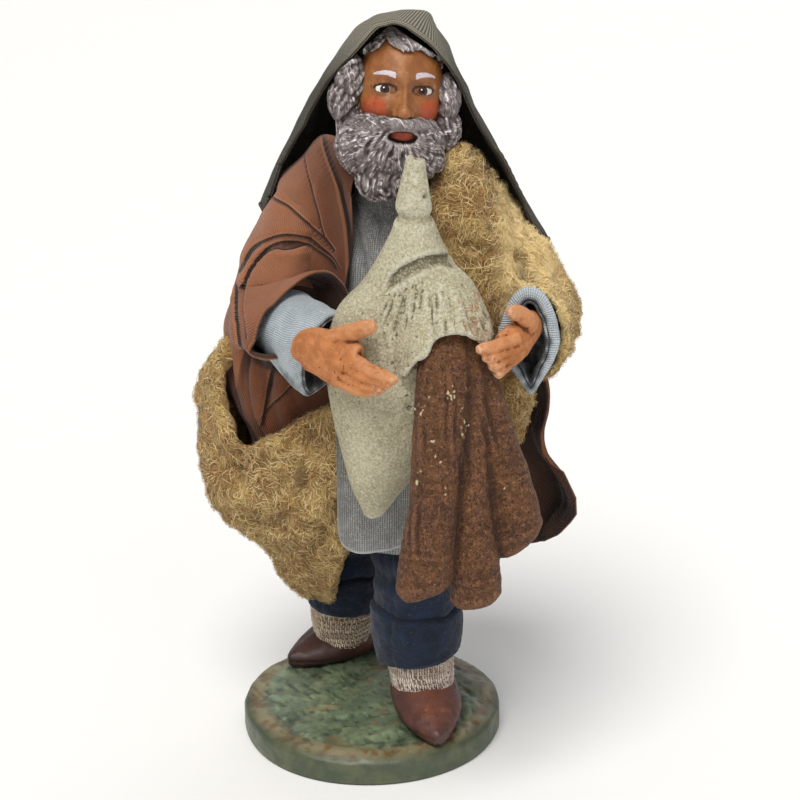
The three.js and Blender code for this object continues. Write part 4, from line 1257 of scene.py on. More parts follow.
# A sleeve end whose mouth is rolled over, with a lining edge inside it.
def makeCuff(name, stations, pinch, roll, seed):
    sides = 132
    squeeze = lambda angle, t: -pinch * np.maximum(0, -np.sin(angle)) * np.abs(np.cos(angle))
    rows = rings(stations, sides, 11, relief=squeeze)
    angle = circle(sides)
    axis = unit(rows[-1].mean(axis=0) - rows[-6].mean(axis=0))
    near = np.linspace(0, 1, len(rows))[:, None]
    _, out = outOf(rows)
    wave = 0.35 * np.sin(3 * angle + near * 5 + seed) * near
    wave = wave + 0.25 * np.sin(near * 26 + 2 * np.sin(angle + seed)) * (1 - near)
    wave = wave + roughness(rows, 3.2, 2, seed) * 0.14
    rows = rows + out * wave[..., None]
    rim = rows[-1]
    thick = roll * (0.75 + 0.25 * np.sin(angle))
    stitch = 0.07 * np.sin(angle * 66)
    layers = []
    for turn in np.linspace(0.25, np.pi, 8):
        ahead = axis * (0.3 * thick * np.sin(turn) + stitch)[:, None]
        layers.append(inset(rim, thick * (1 - np.cos(turn)) / 2) + ahead)
    edge = layers[-1]
    steps = ((-0.9, 0.0), (-1.1, 0.3), (0.1, 0.4), (0.35, 0.8), (0.05, 1.15), (-1.4, 1.3))
    for forward, inwards in steps:
        layers.append(inset(edge, inwards * 0.8) + axis * forward)
    deep = layers[-1]
    for step in range(1, 9):
        fold = 0.5 * np.sin(angle * 4 + step * 0.5 + seed) + 0.35 * np.sin(angle * 7 - step * 0.3)
        amount = np.maximum(0.1 * step + fold * min(step, 4) / 4, 0)
        layers.append(inset(deep, amount) - axis * 1.05 * step)
    cuff = bodyOf(name, np.concatenate([rows, layers]))
    p = points(cuff)
    away = nearest(p, np.concatenate(layers[12:])[::9])
    # the hollow of the mouth is marked for painted shade
    setValue(cuff, "inside", ramp(away, 2.2, 0.6))
    return cuff


# The shirt's front laps over the edge of the fleece and ends in a stitched hem.
def makeFlap():
    s = shirtSet["flap"]
    x = s["left"] + (s["right"] - s["left"]) * np.linspace(0, 1, 43)[None, :] ** 1.4
    low = readTable(s["hem"], x)[..., 0]
    up = np.linspace(0, 1, 49)[:, None] ** 1.4
    z = low + (s["top"] - low) * up
    y = -20.9 - 2.2 * ramp(x, 4, -8) * ramp(z, 52, 74)
    y = y - 0.25 * np.sin(x * 0.9 + z * 0.05) * ramp(z, 80, 56)
    grid = np.stack(np.broadcast_arrays(x, y, z), -1)
    grid[..., 1] += roughness(grid, 3.4, 2, 73) * 0.2
    flap = sheetOf("shirtFlap", grid)
    border = np.minimum(z - low, x - s["left"] + 0.02 * (z - low))
    trim = ramp(border, 0.8, 0.3) - 0.6 * hill(border - 1.2, 0.25)
    setValue(flap, "trim", trim)
    modify(flap, "SOLIDIFY", thickness=0.7, offset=0)
    return flap


def makeShirt():
    body, collar = makeShirtBody()
    main = joined("ribbedShirt", body, collar, makeFlap())
    markRelief(main, 8)
    setValue(main, "inside", 0)
    setValue(main, "main", 1)
    toMetres(main, "shirt",
             knitPaint("greyRib", ("#8d8c88", "#a9a8a4"), 0.62, 0.6, "#383735"))
    cuffs = [makeCuff("cuffRight", shirtSet["right"], 0.3, 1.0, 3),
             makeCuff("cuffLeft", shirtSet["left"], 0.5, 3.2, 5)]
    paint = knitPaint("paleBlueRib", ("#a7b0b4", "#c0c9cd"), 0.52, 0.52, "#6d757d")
    for cuff, name in zip(cuffs, ("ribbedCuffRight", "ribbedCuffLeft")):
        cuff.name = cuff.data.name = name
        markRelief(cuff, 8)
        "clayHand_right" if "Right" in name else "clayHand_left"
        toMetres(cuff, None, paint)


makeShirt()


coatSet = {
    "girth": [
        [12, 9, 10, 29, 24], [30, 10, 9.8, 32, 22.8], [42, 13, 9, 38, 20.8], [47, 13.6, 8.7, 40.4, 20],
        [54, 13.6, 8.2, 43.6, 19.6], [64, 11, 7, 43, 18.8], [70, 8.8, 6.6, 41, 18.4],
        [76, 7.2, 6.2, 40.4, 18],
        [84, 6, 5.6, 43, 18], [93, 4.6, 5, 44, 18], [101, 2.8, 4.5, 42, 18], [110, 1.4, 4, 40.4, 18],
        [130, 3, 3, 32.6, 17.6], [143, 2.6, 1.6, 27.6, 15.6], [149, 2, 0.8, 25.4, 14.4],
        [155, 3, -0.6, 20, 12.6], [160, 3.6, -2, 16.2, 11], [163, 5, -2.8, 12.6, 10],
    ],
    "edges": [
        [256, 88, 158], [240, 80, 160], [222, 72, 161], [190, 62, 161], [140, 56, 157], [118, 50, 157],
        [102, 30, 157], [84, 13, 157], [62, 13, 157], [50, 15, 156], [42, 24, 155], [34, 36, 154],
        [22, 39.4, 153],
        [12, 42, 151], [4, 46, 150], [-3, 53.4, 148], [-7, 66, 146],
    ],
    # columns of cloth between two angles, closer in front where the pleats are
    "columns": ((256, 208, 80), (208, 60, 38), (60, -7, 28)), "rows": 80, "thick": 0.85,
    "sleeve": [
        [-11.6, 0, 146, 7.6, 8.2], [-18, -1, 137.6, 9.8, 10.6], [-22.2, -3, 125.8, 11, 12.2],
        [-24.2, -8, 116, 12, 12.2], [-21.6, -17, 114.2, 13.4, 10.8, -8],
        [-17, -23.6, 114, 13.2, 11, -14],
    ],
    # where the sleeve's mouth lies, seen from the front: [angle, x, z]
    "mouth": [
        [0, -5.5, 119.4], [14, -6.5, 123.2], [28, -8.2, 126], [42, -10.2, 127.6], [60, -13.6, 128],
        [80, -17, 126.9],
        [100, -20.4, 124.4], [118, -23.2, 121.9], [134, -25.2, 120.1], [150, -26.6, 117.1],
        [164, -27.3, 114], [176, -28.5, 112.2],
        [186, -28.4, 111], [200, -26, 110], [225, -22, 109.4], [255, -16.6, 109.2], [290, -11, 110.6],
        [325, -6.8, 114.6], [360, -5.5, 119.4],
    ],
    # folds seen from the front. The cloth on a line's left stands out over the cloth on its
    # right: points [x, z], rise, its reach, drop, its reach, how wide its shadow is
    "laps": [
        ([[-16.2, 158], [-15.6, 154.5], [-14.9, 151.6], [-14, 148.8], [-13.3, 145.7], [-12.3, 142.2],
          [-11.4, 138.1], [-9.9, 134.9]], 0.7, 2.0, 0.5, 1.2, 0.8),
        ([[-5, 125], [-4.9, 131], [-5.4, 138.3], [-6.1, 142.6], [-6.8, 145.9], [-7.4, 148.6],
          [-8.6, 152], [-10, 155.4], [-11, 158.6], [-11.7, 162]], 0.6, 1.6, 1.7, 1.3, 1.5),
        ([[-25.9, 145.2], [-24, 145.1], [-21, 144], [-18.9, 142.7], [-16.1, 140.5], [-14, 138.7],
          [-12, 137.1], [-10, 135.2], [-7.6, 132.2]], 0.5, 1.8, 0.9, 1.1, 1.0),
        ([[-3.3, 128], [-3.1, 134], [-3.5, 142], [-4.6, 149]], 0.2, 0.8, 0.5, 0.7, 0.6),
        ([[-34.4, 124.6], [-31.3, 131], [-29, 133.6], [-25.8, 135.5], [-22.8, 136.6], [-19.9, 136.9],
          [-15.2, 136.2], [-11.4, 133.3], [-8.4, 130.6], [-6.4, 127]], 0.7, 2.6, 1.2, 1.0, 1.0),
        ([[-33.8, 121.6], [-30.7, 128.3], [-26.4, 133.3], [-22.7, 135.1], [-19.1, 135.3],
          [-15.6, 134.5], [-12.2, 132.3], [-9, 129.9], [-7, 126.6]], 0.8, 0.8, 2.2, 1.2, 1.0),
        ([[-9.6, 130.6], [-11.4, 131.7], [-13, 132.9], [-15.3, 134], [-18.9, 133.2], [-21.5, 132.9],
          [-24, 133], [-27.4, 130.8], [-30.2, 126.9], [-31.3, 123], [-31.2, 119.3], [-30.4, 116.5],
          [-29.6, 112]], 0.8, 2.4, 1.2, 1.0, 0.9),
        ([[-31.4, 107.8], [-33, 114.6], [-34.4, 119.5], [-34.6, 124]], 0.6, 1.4, 1.2, 1.0, 1.1),
        ([[-37, 84], [-36.1, 91.8], [-35, 98.5], [-33.2, 105.5], [-31.6, 111]], 0.9, 2.2, 3.0, 2.2,
         2.8),
        ([[-29.4, 82], [-28.7, 86.8], [-26.4, 97.9], [-24.4, 103.6]], 0.8, 2.2, 1.6, 1.2, 1.3),
        ([[-30, 84.6], [-28.1, 87.4], [-24.9, 91.2], [-20.3, 96.3], [-16, 101]], 0.7, 1.8, 1.3, 1.1,
         1.0),
    ],
    # the hollow between the second roll and the turned-back flap
    "hollow": [[-23, 134], [-20.6, 134.3], [-18, 134.2], [-15.6, 134.3]],
}


# The coat's broad folds: slow ones all round, ripples down the back and the flaring corner.
def coatFold(angle, height, up):
    wave = np.sin(angle * 0.12 + 0.7) + 0.5 * np.sin(angle * 0.18 - height * 0.02)
    out = 1.2 * wave * (1 - up) ** 0.7 * ramp(angle, 6, 30)
    under = ramp(angle, 180, 190) * ramp(angle, 240, 230) * ramp(height, 112, 98)
    out = out + under * (0.9 * np.sin(angle * 0.42 + height * 0.045 + 1.2) - 0.9)
    back = ramp(angle, 190, 170) * ramp(angle, 40, 70) * (1 - up) ** 0.5
    ripple = np.sin(angle * 0.26 + 0.8 * np.sin(height * 0.03))
    ripple = ripple + 0.4 * np.sin(angle * 0.55 + height * 0.02)
    out = out + back * 0.8 * ripple
    flare = ramp(angle, 60, 40)
    gathers = 1.1 * np.sin(angle * 0.3 + 1.0) * ramp(height, 110, 60) * ramp(angle, 4, 16)
    curl = 1.5 * ramp(up, 0.035, 0.0) - 0.7 * hill((up - 0.06) / 0.03, 1)
    return out + flare * (gathers + curl)


# How far each point moves out along its normal to make the lapped folds in front.
def lapsAt(p):
    flat = p[:, [0, 2]]
    high, low = np.zeros(len(p)), np.zeros(len(p))
    for line, rise, reach, drop, narrow, _ in coatSet["laps"]:
        gap, share = besideLine(flat, spline(line, 36))
        fade = ramp(share, 0, 0.12) * ramp(share, 1, 0.88)
        high = np.maximum(high, fade * rise * hill(gap, reach) * ramp(gap, -0.4, 0.4))
        low = np.maximum(low, fade * drop * hill(gap, narrow) * ramp(gap, 0.4, -0.4))
    away, share = besideLine(flat, spline(coatSet["hollow"], 24))
    low = np.maximum(low, 3.0 * hill(away, 0.9) * slimEnds(share, 0, 1) ** 0.5)
    return (high - low) * ramp(p[:, 1], 1, -5)


# How far each point is from its nearest fold's edge, kept for the painted shadow and highlight along
# it. Neighbouring folds are in different sets.
def markLaps(piece, p):
    flat = p[:, [0, 2]]
    for index, name in enumerate(("oddEdge", "evenEdge")):
        signed, nearest = np.zeros(len(p)), np.full(len(p), 9.0)
        for line, *_, shade in coatSet["laps"][index::2]:
            gap, share = besideLine(flat, spline(line, 36))
            gap = gap / shade
            away = np.abs(gap) + 3 * (1 - ramp(share, 0, 0.05) * ramp(share, 1, 0.95))
            signed = np.where(away < nearest, gap, signed)
            nearest = np.minimum(nearest, away)
        setValue(piece, name, signed)
        setValue(piece, name + "Near", ramp(nearest, 1.2, 0.8) * ramp(p[:, 1], 1, -5))


# Presses the folds into the sheet, then gives both faces of the cloth the same folds.
def foldFront(piece, grid, middle, wrap):
    p, n = points(piece), normals(piece)
    middle = np.broadcast_to(middle, grid.shape).reshape(-1, 3)
    markLaps(piece, p)
    push = lapsAt(p).reshape(grid.shape[:2])
    for axis in (0, 1, 0, 1, 0, 1):
        ends = "wrap" if wrap and axis else "edge"
        wide = np.pad(push, [(1, 1) if k == axis else (0, 0) for k in (0, 1)], mode=ends)
        first, last = (wide[:-2], wide[2:]) if axis == 0 else (wide[:, :-2], wide[:, 2:])
        push = 0.5 * push + 0.25 * (first + last)
    move = n * np.sign((n * (p - middle)).sum()) * push.reshape(-1, 1)
    modify(piece, "SOLIDIFY", thickness=coatSet["thick"], offset=0)
    faces = points(piece)
    reach = np.linalg.norm(faces.reshape(2, -1, 3) - middle, axis=2).mean(axis=1)
    inner = np.repeat(reach < reach[::-1], len(move))
    faces += np.concatenate([move, move])
    setPoints(piece, faces)
    # the inner face is marked for painted shade
    setValue(piece, "inside", inner * 1.0)
    return piece


def makeCoatSleeve():
    rows = rings(coatSet["sleeve"], 240, 18)
    angle = circle(240)
    # more columns on the side that shows
    keep = np.r_[0:30:2, 30:168, 168:240:3]
    rows, angle = rows[:, keep], angle[keep]
    count, sides = rows.shape[:2]
    t = np.linspace(0, 1, count)[:, None]
    mouth = readTable(coatSet["mouth"], np.degrees(angle))
    moved = np.stack([mouth[:, 0] - rows[-1, :, 0], np.zeros(sides), mouth[:, 1] - rows[-1, :, 2]], -1)
    rows = rows + moved[None] * (ramp(t, 0.55, 1.0) ** 1.5)[..., None]
    _, out = outOf(rows)
    push = 0.5 * np.sin(angle * 5 + t * 9) * ramp(t, 0.35, 0.1) * ramp(t, 0, 0.1)
    push = push + 0.4 * np.sin(angle * 2 + t * 8) * ramp(t, 0.2, 0.5)
    push = push + roughness(rows, 4, 2, 81) * 0.25
    push = push + 0.55 * ramp(t, 0.985, 1.0) - 0.25 * hill((t - 0.965) / 0.012, 1)
    return rows + out * push[..., None]


def makeCoat():
    s = coatSet
    turn = [np.linspace(a, b, count, endpoint=False) for a, b, count in s["columns"]]
    turn = np.append(np.concatenate(turn), s["columns"][-1][1])
    grid = hanging(s["girth"], s["edges"], turn, s["rows"], coatFold)
    out = np.stack([np.cos(np.radians(turn)), np.sin(np.radians(turn))], -1)
    grid[..., :2] += roughness(grid, 9, 3, 82)[..., None] * 0.35 * out
    axis = grid * (0, 0, 1) + (6, 4, 0)
    body = foldFront(sheetOf("coatBody", grid), grid, axis, False)
    tube = makeCoatSleeve()
    sleeve = foldFront(sheetOf("coatSleeve", tube, wrap=True), tube, tube.mean(axis=1, keepdims=True),
                       True)
    # what lies inside the sleeve gets the painted shade of the cloth's inner face
    line = spline(np.array([row[:3] for row in s["sleeve"]]), 24)[8:]
    p = points(body)
    within = ramp(nearest(p, line), 16.6, 15) * ramp(p[:, 2], 127.5, 125)
    setValue(body, "inside", np.maximum(valueOf(body, "inside"), within))
    piece = joined("twillCoat", body, sleeve)
    markRelief(piece, 10)
    paint = Paint("brownTwill", Sheen_Weight=0.2, Sheen_Roughness=0.4)
    ribs, rows = clothHeight(paint, 0.74, 0.5, 0.8)
    x, _, z = paint.axes()
    paint.ground((14, 4, 0.6), 0.34, 0.66, "#744329", "#8c5233")
    paint.coats(
        (ribs, 0.5, 0.12, 0.5, "#3c2015"),
        (ribs, 0.65, 1.0, 0.3, "#a86c48"),
        ((0.45, 3, 0.7), 0.52, 0.72, 0.3, "#b0764f"),
        # painted light on the sleeve's outer upper side, painted shade on the front beside it
        (x, -13, -20, paint.band(z, 118, 138) * 0.5, "#ab7150"),
        (x, -14, -9, paint.band(z, 128, 138) * 0.4, "#40241a"),
        # painted light on the fold crests and painted shade in the fold hollows
        ("relief", 0.06, 0.5, 0.4, "#b0734c"),
        ("relief", -0.05, -0.5, 0.75, "#23120c"),
    )
    # a painted highlight along each fold's edge and a painted shadow under the cloth it laps over
    for edge in ("oddEdge", "evenEdge"):
        gap, near = paint.value(edge), paint.value(edge + "Near")
        paint.coats(
            (gap, 0.0, 0.1, paint.band(gap, 0.6, 0.3) * near * 0.35, "#b97c55"),
            (gap, 0.06, -0.04, paint.band(gap, -1.1, -0.25) * near * 0.92, "#160b07"),
        )
    # painted shade on the cloth's inner face and inside the sleeve
    paint.coats(("inside", None, None, 0.85, "#1d100b"))
    bumps = ribs * 0.5 + rows * 0.2 + paint.noise(0.35, 3, 0.7) * 0.5
    toMetres(piece, "coat", paint.finish(0.9, bumps, 0.28))


makeCoat()


hoodSet = {
    "lines": [
        [[-28, 0.5, 141.5], [-17.4, -5, 163], [-6.6, -11, 179.4], [6, -16.4, 190], [18.4, -13, 182],
         [29, -6, 164], [46.8, 2.5, 132.6]],
        [[-28.6, 7, 141], [-21.8, 4, 157.2], [-14.6, 2, 169.9], [-7.5, 0, 181.2], [-3.2, -1, 187.4],
         [0.6, -2, 189.7], [4.9, -2, 191],
         [10.2, -2, 191.7], [15.1, -2, 190.9], [16.8, -2, 189], [18, -1, 185.4], [21.8, 0, 176.2],
         [28.5, 2, 163.8], [32.2, 4, 157], [48, 8, 131.6]],
        [[-27.4, 16, 134.6], [-17.6, 15, 156.6], [-7, 15.6, 173], [8.4, 15.4, 180], [21.6, 15.4, 173],
         [32.4, 15, 156.4], [46.6, 15, 129.6]],
        [[-24.4, 25, 125.6], [-17.6, 29, 123.6], [-6, 31.4, 121.6], [8.5, 32.4, 120.6],
         [23, 31.4, 121.6], [35, 28.6, 123.6], [43.4, 25, 126.6]],
    ],
    "columns": 134, "rows": 58, "thick": 0.8,
}


def makeHood():
    s = hoodSet
    across = np.array([spline(line, s["columns"]) for line in s["lines"]])
    grid = np.stack([spline(across[:, j], s["rows"]) for j in range(s["columns"] + 1)], axis=1)
    share = np.linspace(0, 1, s["columns"] + 1)[None, :]
    down = np.linspace(0, 1, s["rows"] + 1)[:, None]
    grid[..., 1] += 0.9 * np.sin(share * 6 * np.pi + 0.6) * down**2
    n = unit(np.cross(np.gradient(grid, axis=1), np.gradient(grid, axis=0)))
    n *= np.sign((n * (grid - (8, 6, 150))).sum())
    folds = 0.7 * np.sin(share * 34 + 5 * down) * down**1.3
    folds = folds + 0.45 * np.sin(share * 71 - 4 * down) * down**2
    side = np.abs(share - 0.5) * 2
    folds = folds + 0.35 * np.sin(side * 18 + down * 7) * ramp(side, 0.3, 0.7) * (1 - down)
    folds = folds - 0.5 * hill((share - 0.475) / 0.02, 1) * ramp(down, 0.1, 0)
    folds = folds + roughness(grid, 8, 3, 91) * 0.3
    grid = grid + n * folds[..., None]
    peak = hill((share - 0.46) / 0.035, 1) * ramp(down, 0.06, 0)
    grid[..., 2] += 0.9 * peak
    grid[..., 1] -= 0.7 * peak
    body = sheetOf("hoodBody", grid)
    modify(body, "SOLIDIFY", thickness=s["thick"], offset=0)
    # the rolled hem, with its net of coarse stitches
    edge = np.concatenate([grid[::-1, 0], grid[0, 1:-1], grid[:, -1]])
    thick = 0.72 + 0.07 * np.sin(np.arange(621) * 1.9)
    hem = sheetOf("hoodHem", tubeRows(spline(edge, 620), thick, 7), wrap=True)
    piece = joined("ribbedHood", body, hem)
    markRelief(piece, 8)
    paint = Paint("oliveRibCloth", Sheen_Weight=0.06)
    ribs, rows = clothHeight(paint, 0.78, 0.42)
    top = paint.band(paint.axes()[2], 182, 198)
    paint.ground((9, 4, 0.6), 0.34, 0.66, "#38332a", "#4b4538")
    paint.coats(
        (top, None, None, 0.85, "#968f7c"),
        (ribs, 0.5, 0.12, 0.75, "#15130f"),
        (ribs, 0.75, 1.0, top * 0.5 + 0.15, "#bdb6a0"),
        (rows, 0.4, 0.05, 0.5, "#1e1c16"),
        ((0.5, 3, 0.7), 0.55, 0.72, 0.25, "#b3af9d"),
    )
    bumps = ribs * 0.6 + rows * 0.4 + paint.noise(0.3, 2, 0.6) * 0.3
    toMetres(piece, "hood", paint.finish(0.92, bumps, 0.26))


makeHood()


headSet = {
    "middle": (8, -4.8, 172.4), "half": (11.2, 13.4, 17), "yaw": 6, "lean": 4,
    "eye": {"out": 4.7, "up": 1.3, "radius": 2.5, "wide": 2.55, "tall": 1.2},
    # discs painted on each eye: across, up, radius, colour; the last one is a painted glint
    "eyeDiscs": ((-0.1, 0.0, 1.2, "#24140d"), (-0.1, 0.0, 0.95, "#4a2c1b"),
                 (-0.1, 0.05, 0.55, "#0a0706"),
                 (-0.42, 0.42, 0.2, "#f5f3f0")),
    "voxel": 0.38,
}
leanTurn, yawTurn = math.radians(headSet["lean"]), math.radians(headSet["yaw"])
leanMatrix = np.array([[math.cos(leanTurn), 0, math.sin(leanTurn)], [0, 1, 0],
                       [-math.sin(leanTurn), 0, math.cos(leanTurn)]])
headTurn = leanMatrix @ turnAbout(headSet["yaw"])


def fromHead(local):
    return np.asarray(local, float) @ headTurn.T + np.array(headSet["middle"])


def toHead(coords):
    return (np.asarray(coords, float) - np.array(headSet["middle"])) @ headTurn


# How far the face stands out of the plain egg, across a and up b from its middle.
def faceRelief(a, b):
    side = np.abs(a)
    spot = lambda x, z, wide, tall: np.exp(-(((side - x) / wide) ** 2) - ((b - z) / tall) ** 2)
    out = 0.55 * spot(3.6, 4.6, 4.2, 1.3)
    out -= 1.9 * spot(4.5, 1.3, 3.1, 2.0)
    out += 0.75 * spot(6.4, -3.6, 2.6, 2.6)
    out += 0.9 * spot(0, -8.6, 4.6, 2.6)
    bridge = np.interp(b, [-5, -3.6, -1, 1.6, 3.6, 5], [0.4, 2.3, 1.9, 1.2, 0.7, 0.2])
    width = np.interp(b, [-5, -3.5, 0, 3, 5], [1.7, 1.6, 1.05, 1.1, 2.2])
    out += bridge * np.exp(-((side / width) ** 2))
    out -= 0.35 * spot(3.3, -5.4, 0.8, 1.8)
    return out


def eggDepth(a, b):
    wide, deep, tall = headSet["half"]
    return -deep * np.sqrt(np.maximum(1 - (a / wide) ** 2 - (b / tall) ** 2, 0.02))


def facePoint(a, b, lift=0.0):
    a, b = np.asarray(a, float), np.asarray(b, float)
    y = eggDepth(a, b) - faceRelief(a, b) - lift
    return fromHead(np.stack([a, y, b], -1))


def almond(share, sign, s, grow=0.0, lower=False):
    a = s["out"] * sign + (s["wide"] + grow) * np.cos(share)
    tall = (s["tall"] * (0.72 if lower else 1.0) + grow) * np.sin(share) ** 0.85
    return a, s["up"] + (-tall if lower else tall) - 0.05 * np.cos(share) * sign


def makeFace():
    wide, deep, tall = headSet["half"]
    around = circle(150)[None, :]
    up = np.linspace(-np.pi / 2 + 0.03, np.pi / 2 - 0.03, 110)[:, None]
    egg = (wide * np.cos(up) * np.sin(around), -deep * np.cos(up) * np.cos(around), tall * np.sin(up))
    local = np.stack(np.broadcast_arrays(*egg), -1)
    jaw = ramp(local[..., 2], -2, -15)
    local[..., 0] *= 1 - 0.2 * jaw
    front = ramp(local[..., 1], 0, -6)
    local[..., 1] -= faceRelief(local[..., 0], local[..., 2]) * front
    egg = bodyOf("egg", fromHead(local))
    neck = bodyOf("neck",
                  rings([[6.6, -3.2, 148, 5.8, 6], [6.8, -3.4, 154, 6, 6.2], [7, -3.6, 162, 6.6, 7]],
                        60, 6))
    parts = [egg, neck]
    s = headSet["eye"]
    for sign in (-1, 1):
        share = np.linspace(0.02, np.pi - 0.02, 24)
        for lower in (False, True):
            a, b = almond(share, sign, s, 0.25, lower)
            y = eyeFront(a, b, sign)
            line = fromHead(np.stack([a, y - (0.0 if lower else 0.08), b], -1))
            thick = (0.3 if lower else 0.46) * np.sin(share) ** 0.35 + 0.12
            parts.append(manyTubes("lid", line[None], thick[None], 8))
        a, b = almond(share, sign, s, 0.9)
        crease = fromHead(np.stack([a, eyeFront(a, b, sign) + 0.1, b + 0.35], -1))
        parts.append(manyTubes("lidFold", crease[None], (0.42 * np.sin(share) ** 0.5 + 0.1)[None], 8))
        wing = rings([[*facePoint(sign * 1.5, -4.2, -1.0), 0.7, 0.7],
                      [*facePoint(sign * 1.75, -4.5, 0.1), 1.05, 1.0],
                      [*facePoint(sign * 1.7, -5.0, 0.15), 0.8, 0.8]], 20, 6)
        parts.append(bodyOf("wing", wing))
    tip = [facePoint(0, -2.6, -0.8), facePoint(0, -3.9, 0.1), facePoint(0, -4.7, -0.4)]
    parts.append(bodyOf("noseTip",
                        rings([[*tip[0], 1.2, 1.2], [*tip[1], 1.75, 1.7], [*tip[2], 1.1, 1.1]], 28, 8)))
    for b, thick, lift in ((-9.9, 0.8, 2.7), (-8.7, 0.5, 2.5)):
        a = np.linspace(-3, 3, 20)
        lip = facePoint(a, b + 0.35 * (a / 3) ** 2 * (1 if b < -9 else -0.4),
                        lift - 0.28 * (a / 3) ** 2)
        parts.append(manyTubes("lip", lip[None], (thick * (1 - (a / 3.3) ** 2) ** 0.5 + 0.05)[None],
                               10))
    return parts


# Keeps head and hair inside the hood's hem.
def underHood(p, under):
    hem = np.array(hoodSet["lines"][0])
    x, _, z = p.T
    limit = np.interp(x, hem[:, 0], hem[:, 2]) - under
    z[:] = np.where(z > 164, np.minimum(z, limit), z)
    return p


# The eyeball's front, level with the lids.
def eyeFront(a, b, sign):
    s = headSet["eye"]
    middle = eyeMiddle(sign)
    reach = s["radius"] ** 2 - (a - middle[0]) ** 2 - (b - middle[2]) ** 2
    return middle[1] - np.sqrt(np.maximum(reach, 0.4))


def eyeMiddle(sign):
    s = headSet["eye"]
    a, b = s["out"] * sign, s["up"]
    return np.array([a, eggDepth(a, b) - faceRelief(np.array(a), np.array(b)) + s["radius"] - 1.15, b])


def makeEyes():
    balls = []
    for sign in (-1, 1):
        ball = sphere(48, 28, headSet["eye"]["radius"])
        p = points(ball)[:, [0, 2, 1]] * (1, -1, 1)
        setValue(ball, "across", p[:, 0])
        setValue(ball, "up", p[:, 2])
        setPoints(ball, fromHead(p + eyeMiddle(sign)))
        balls.append(ball)
    piece = joined("paintedEyes", *balls)
    weld(piece)
    paint = Paint("eyePaint", Specular_IOR_Level=0.3)
    paint.ground((1.2, 2), 0.4, 0.7, "#efe9e0", "#d9cfc6")
    across, up = paint.value("across"), paint.value("up")
    for a, b, size, colour in headSet["eyeDiscs"]:
        reach = ((across - a) ** 2 + (up - b) ** 2) ** 0.5
        paint.coats((reach, size + 0.06, size - 0.06, 1, colour))
    toMetres(piece, None, paint.finish(0.3))


def facePaint():
    paint = Paint("paintedFace", Specular_IOR_Level=0.4, Coat_Weight=0.12, Coat_Roughness=0.4)
    lip, lash, brow = (paint.value(name) for name in ("lip", "lash", "brow"))
    bare = (1.0 - lash) * (1.0 - brow)
    streak = paint.band(paint.noise(0.6, 2, 0.5, 0, (0.4, 1, 1.2)), 0.62, 0.5)
    paint.ground((5, 4, 0.6), 0.34, 0.66, "#8a5229", "#a36837")
    paint.coats(
        ("cheek", 0.1, 0.55, 0.8, "#b5431f"),
        ("shade", None, None, 0.7, "#6b3720"),
        ("relief", -0.02, -0.22, 0.75, "#4a2415"),
        ("relief", 0.03, 0.25, 0.3, "#d29a68"),
        (lip, None, None, 1, "#9a3f28"),
        ("relief", -0.05, -0.2, lip, "#431610"),
        (brow, 0.35, 0.6, streak * 0.25 + 0.75, "#cfc5ca"),
        (lash, None, None, 1, "#1f130e"),
        ((1.4, 4, 0.7), 0.5, 0.66, bare * 0.3, "#6b3f20"),
        ((2.3, 3, 0.6, 0.3), 0.54, 0.7, bare * 0.35, "#bf8748"),
        ((0.4, 2, 0.5), 0.68, 0.74, 0.5, "#5a2d1a"),
    )
    return paint.finish((2, 0.42, 0.6), (0.5, 4, 0.65), 0.08)


def makeHead():
    piece = fused("clayHead", makeFace(), headSet["voxel"], 2)
    p = points(piece)
    local = toHead(p)
    a, depth, b = local.T
    side, front = np.abs(a), ramp(depth, -3, -6)
    s = headSet["eye"]
    p += normals(piece) * (roughness(p, 3, 3, 101) * 0.07)[:, None]
    nostril = hill(np.hypot(side - 0.95, (b + 5.35) * 1.5), 0.42) * front
    p += normals(piece) * (-0.5 * nostril)[:, None]
    setPoints(piece, underHood(p, 2.4))
    markRelief(piece, 10)
    cheek = np.exp(-(((side - 7.0) / 2.6) ** 2) - ((b + 3.8) / 2.9) ** 2) * front
    setValue(piece, "cheek", cheek + 0.25 * hill(np.hypot(a, b + 4), 1.6) * front)
    shade = np.exp(-(((side - 4.7) / 3.1) ** 2) - ((b - 1.6) / 2.0) ** 2) * 0.45 + nostril
    shade = np.maximum(shade, hill(np.hypot(side - 2.6, (b + 5.2) * 0.6), 0.6) * 0.5)
    setValue(piece, "shade", shade * front)
    setValue(piece, "lip", ramp(side, 3.9, 3.2) * ramp(np.abs(b + 9.2), 2.2, 1.8) * front)
    arch = 5.35 - 0.085 * (side - 4.9) ** 2
    tidy = ramp(side, 1.7, 3.3) * ramp(side, 8.3, 7.3)
    thick = 0.92 - 0.11 * side
    setValue(piece, "brow", ramp(np.abs(b - arch), thick + 0.35, thick - 0.05) * tidy * front)
    rim = np.zeros(len(p))
    for sign in (-1, 1):
        for lower, thick, strong in ((False, 0.42, 0.95), (True, 0.3, 0.6)):
            share = np.linspace(0.05, np.pi - 0.05, 30)
            line = np.stack(almond(share, sign, s, 0.1, lower), -1)
            away, _ = fromLine(np.stack([a, b], -1), line)
            rim = np.maximum(rim, ramp(away, thick, thick - 0.16) * front * strong)
    setValue(piece, "lash", rim)
    toMetres(piece, "head", facePaint())
    makeEyes()


makeHead()


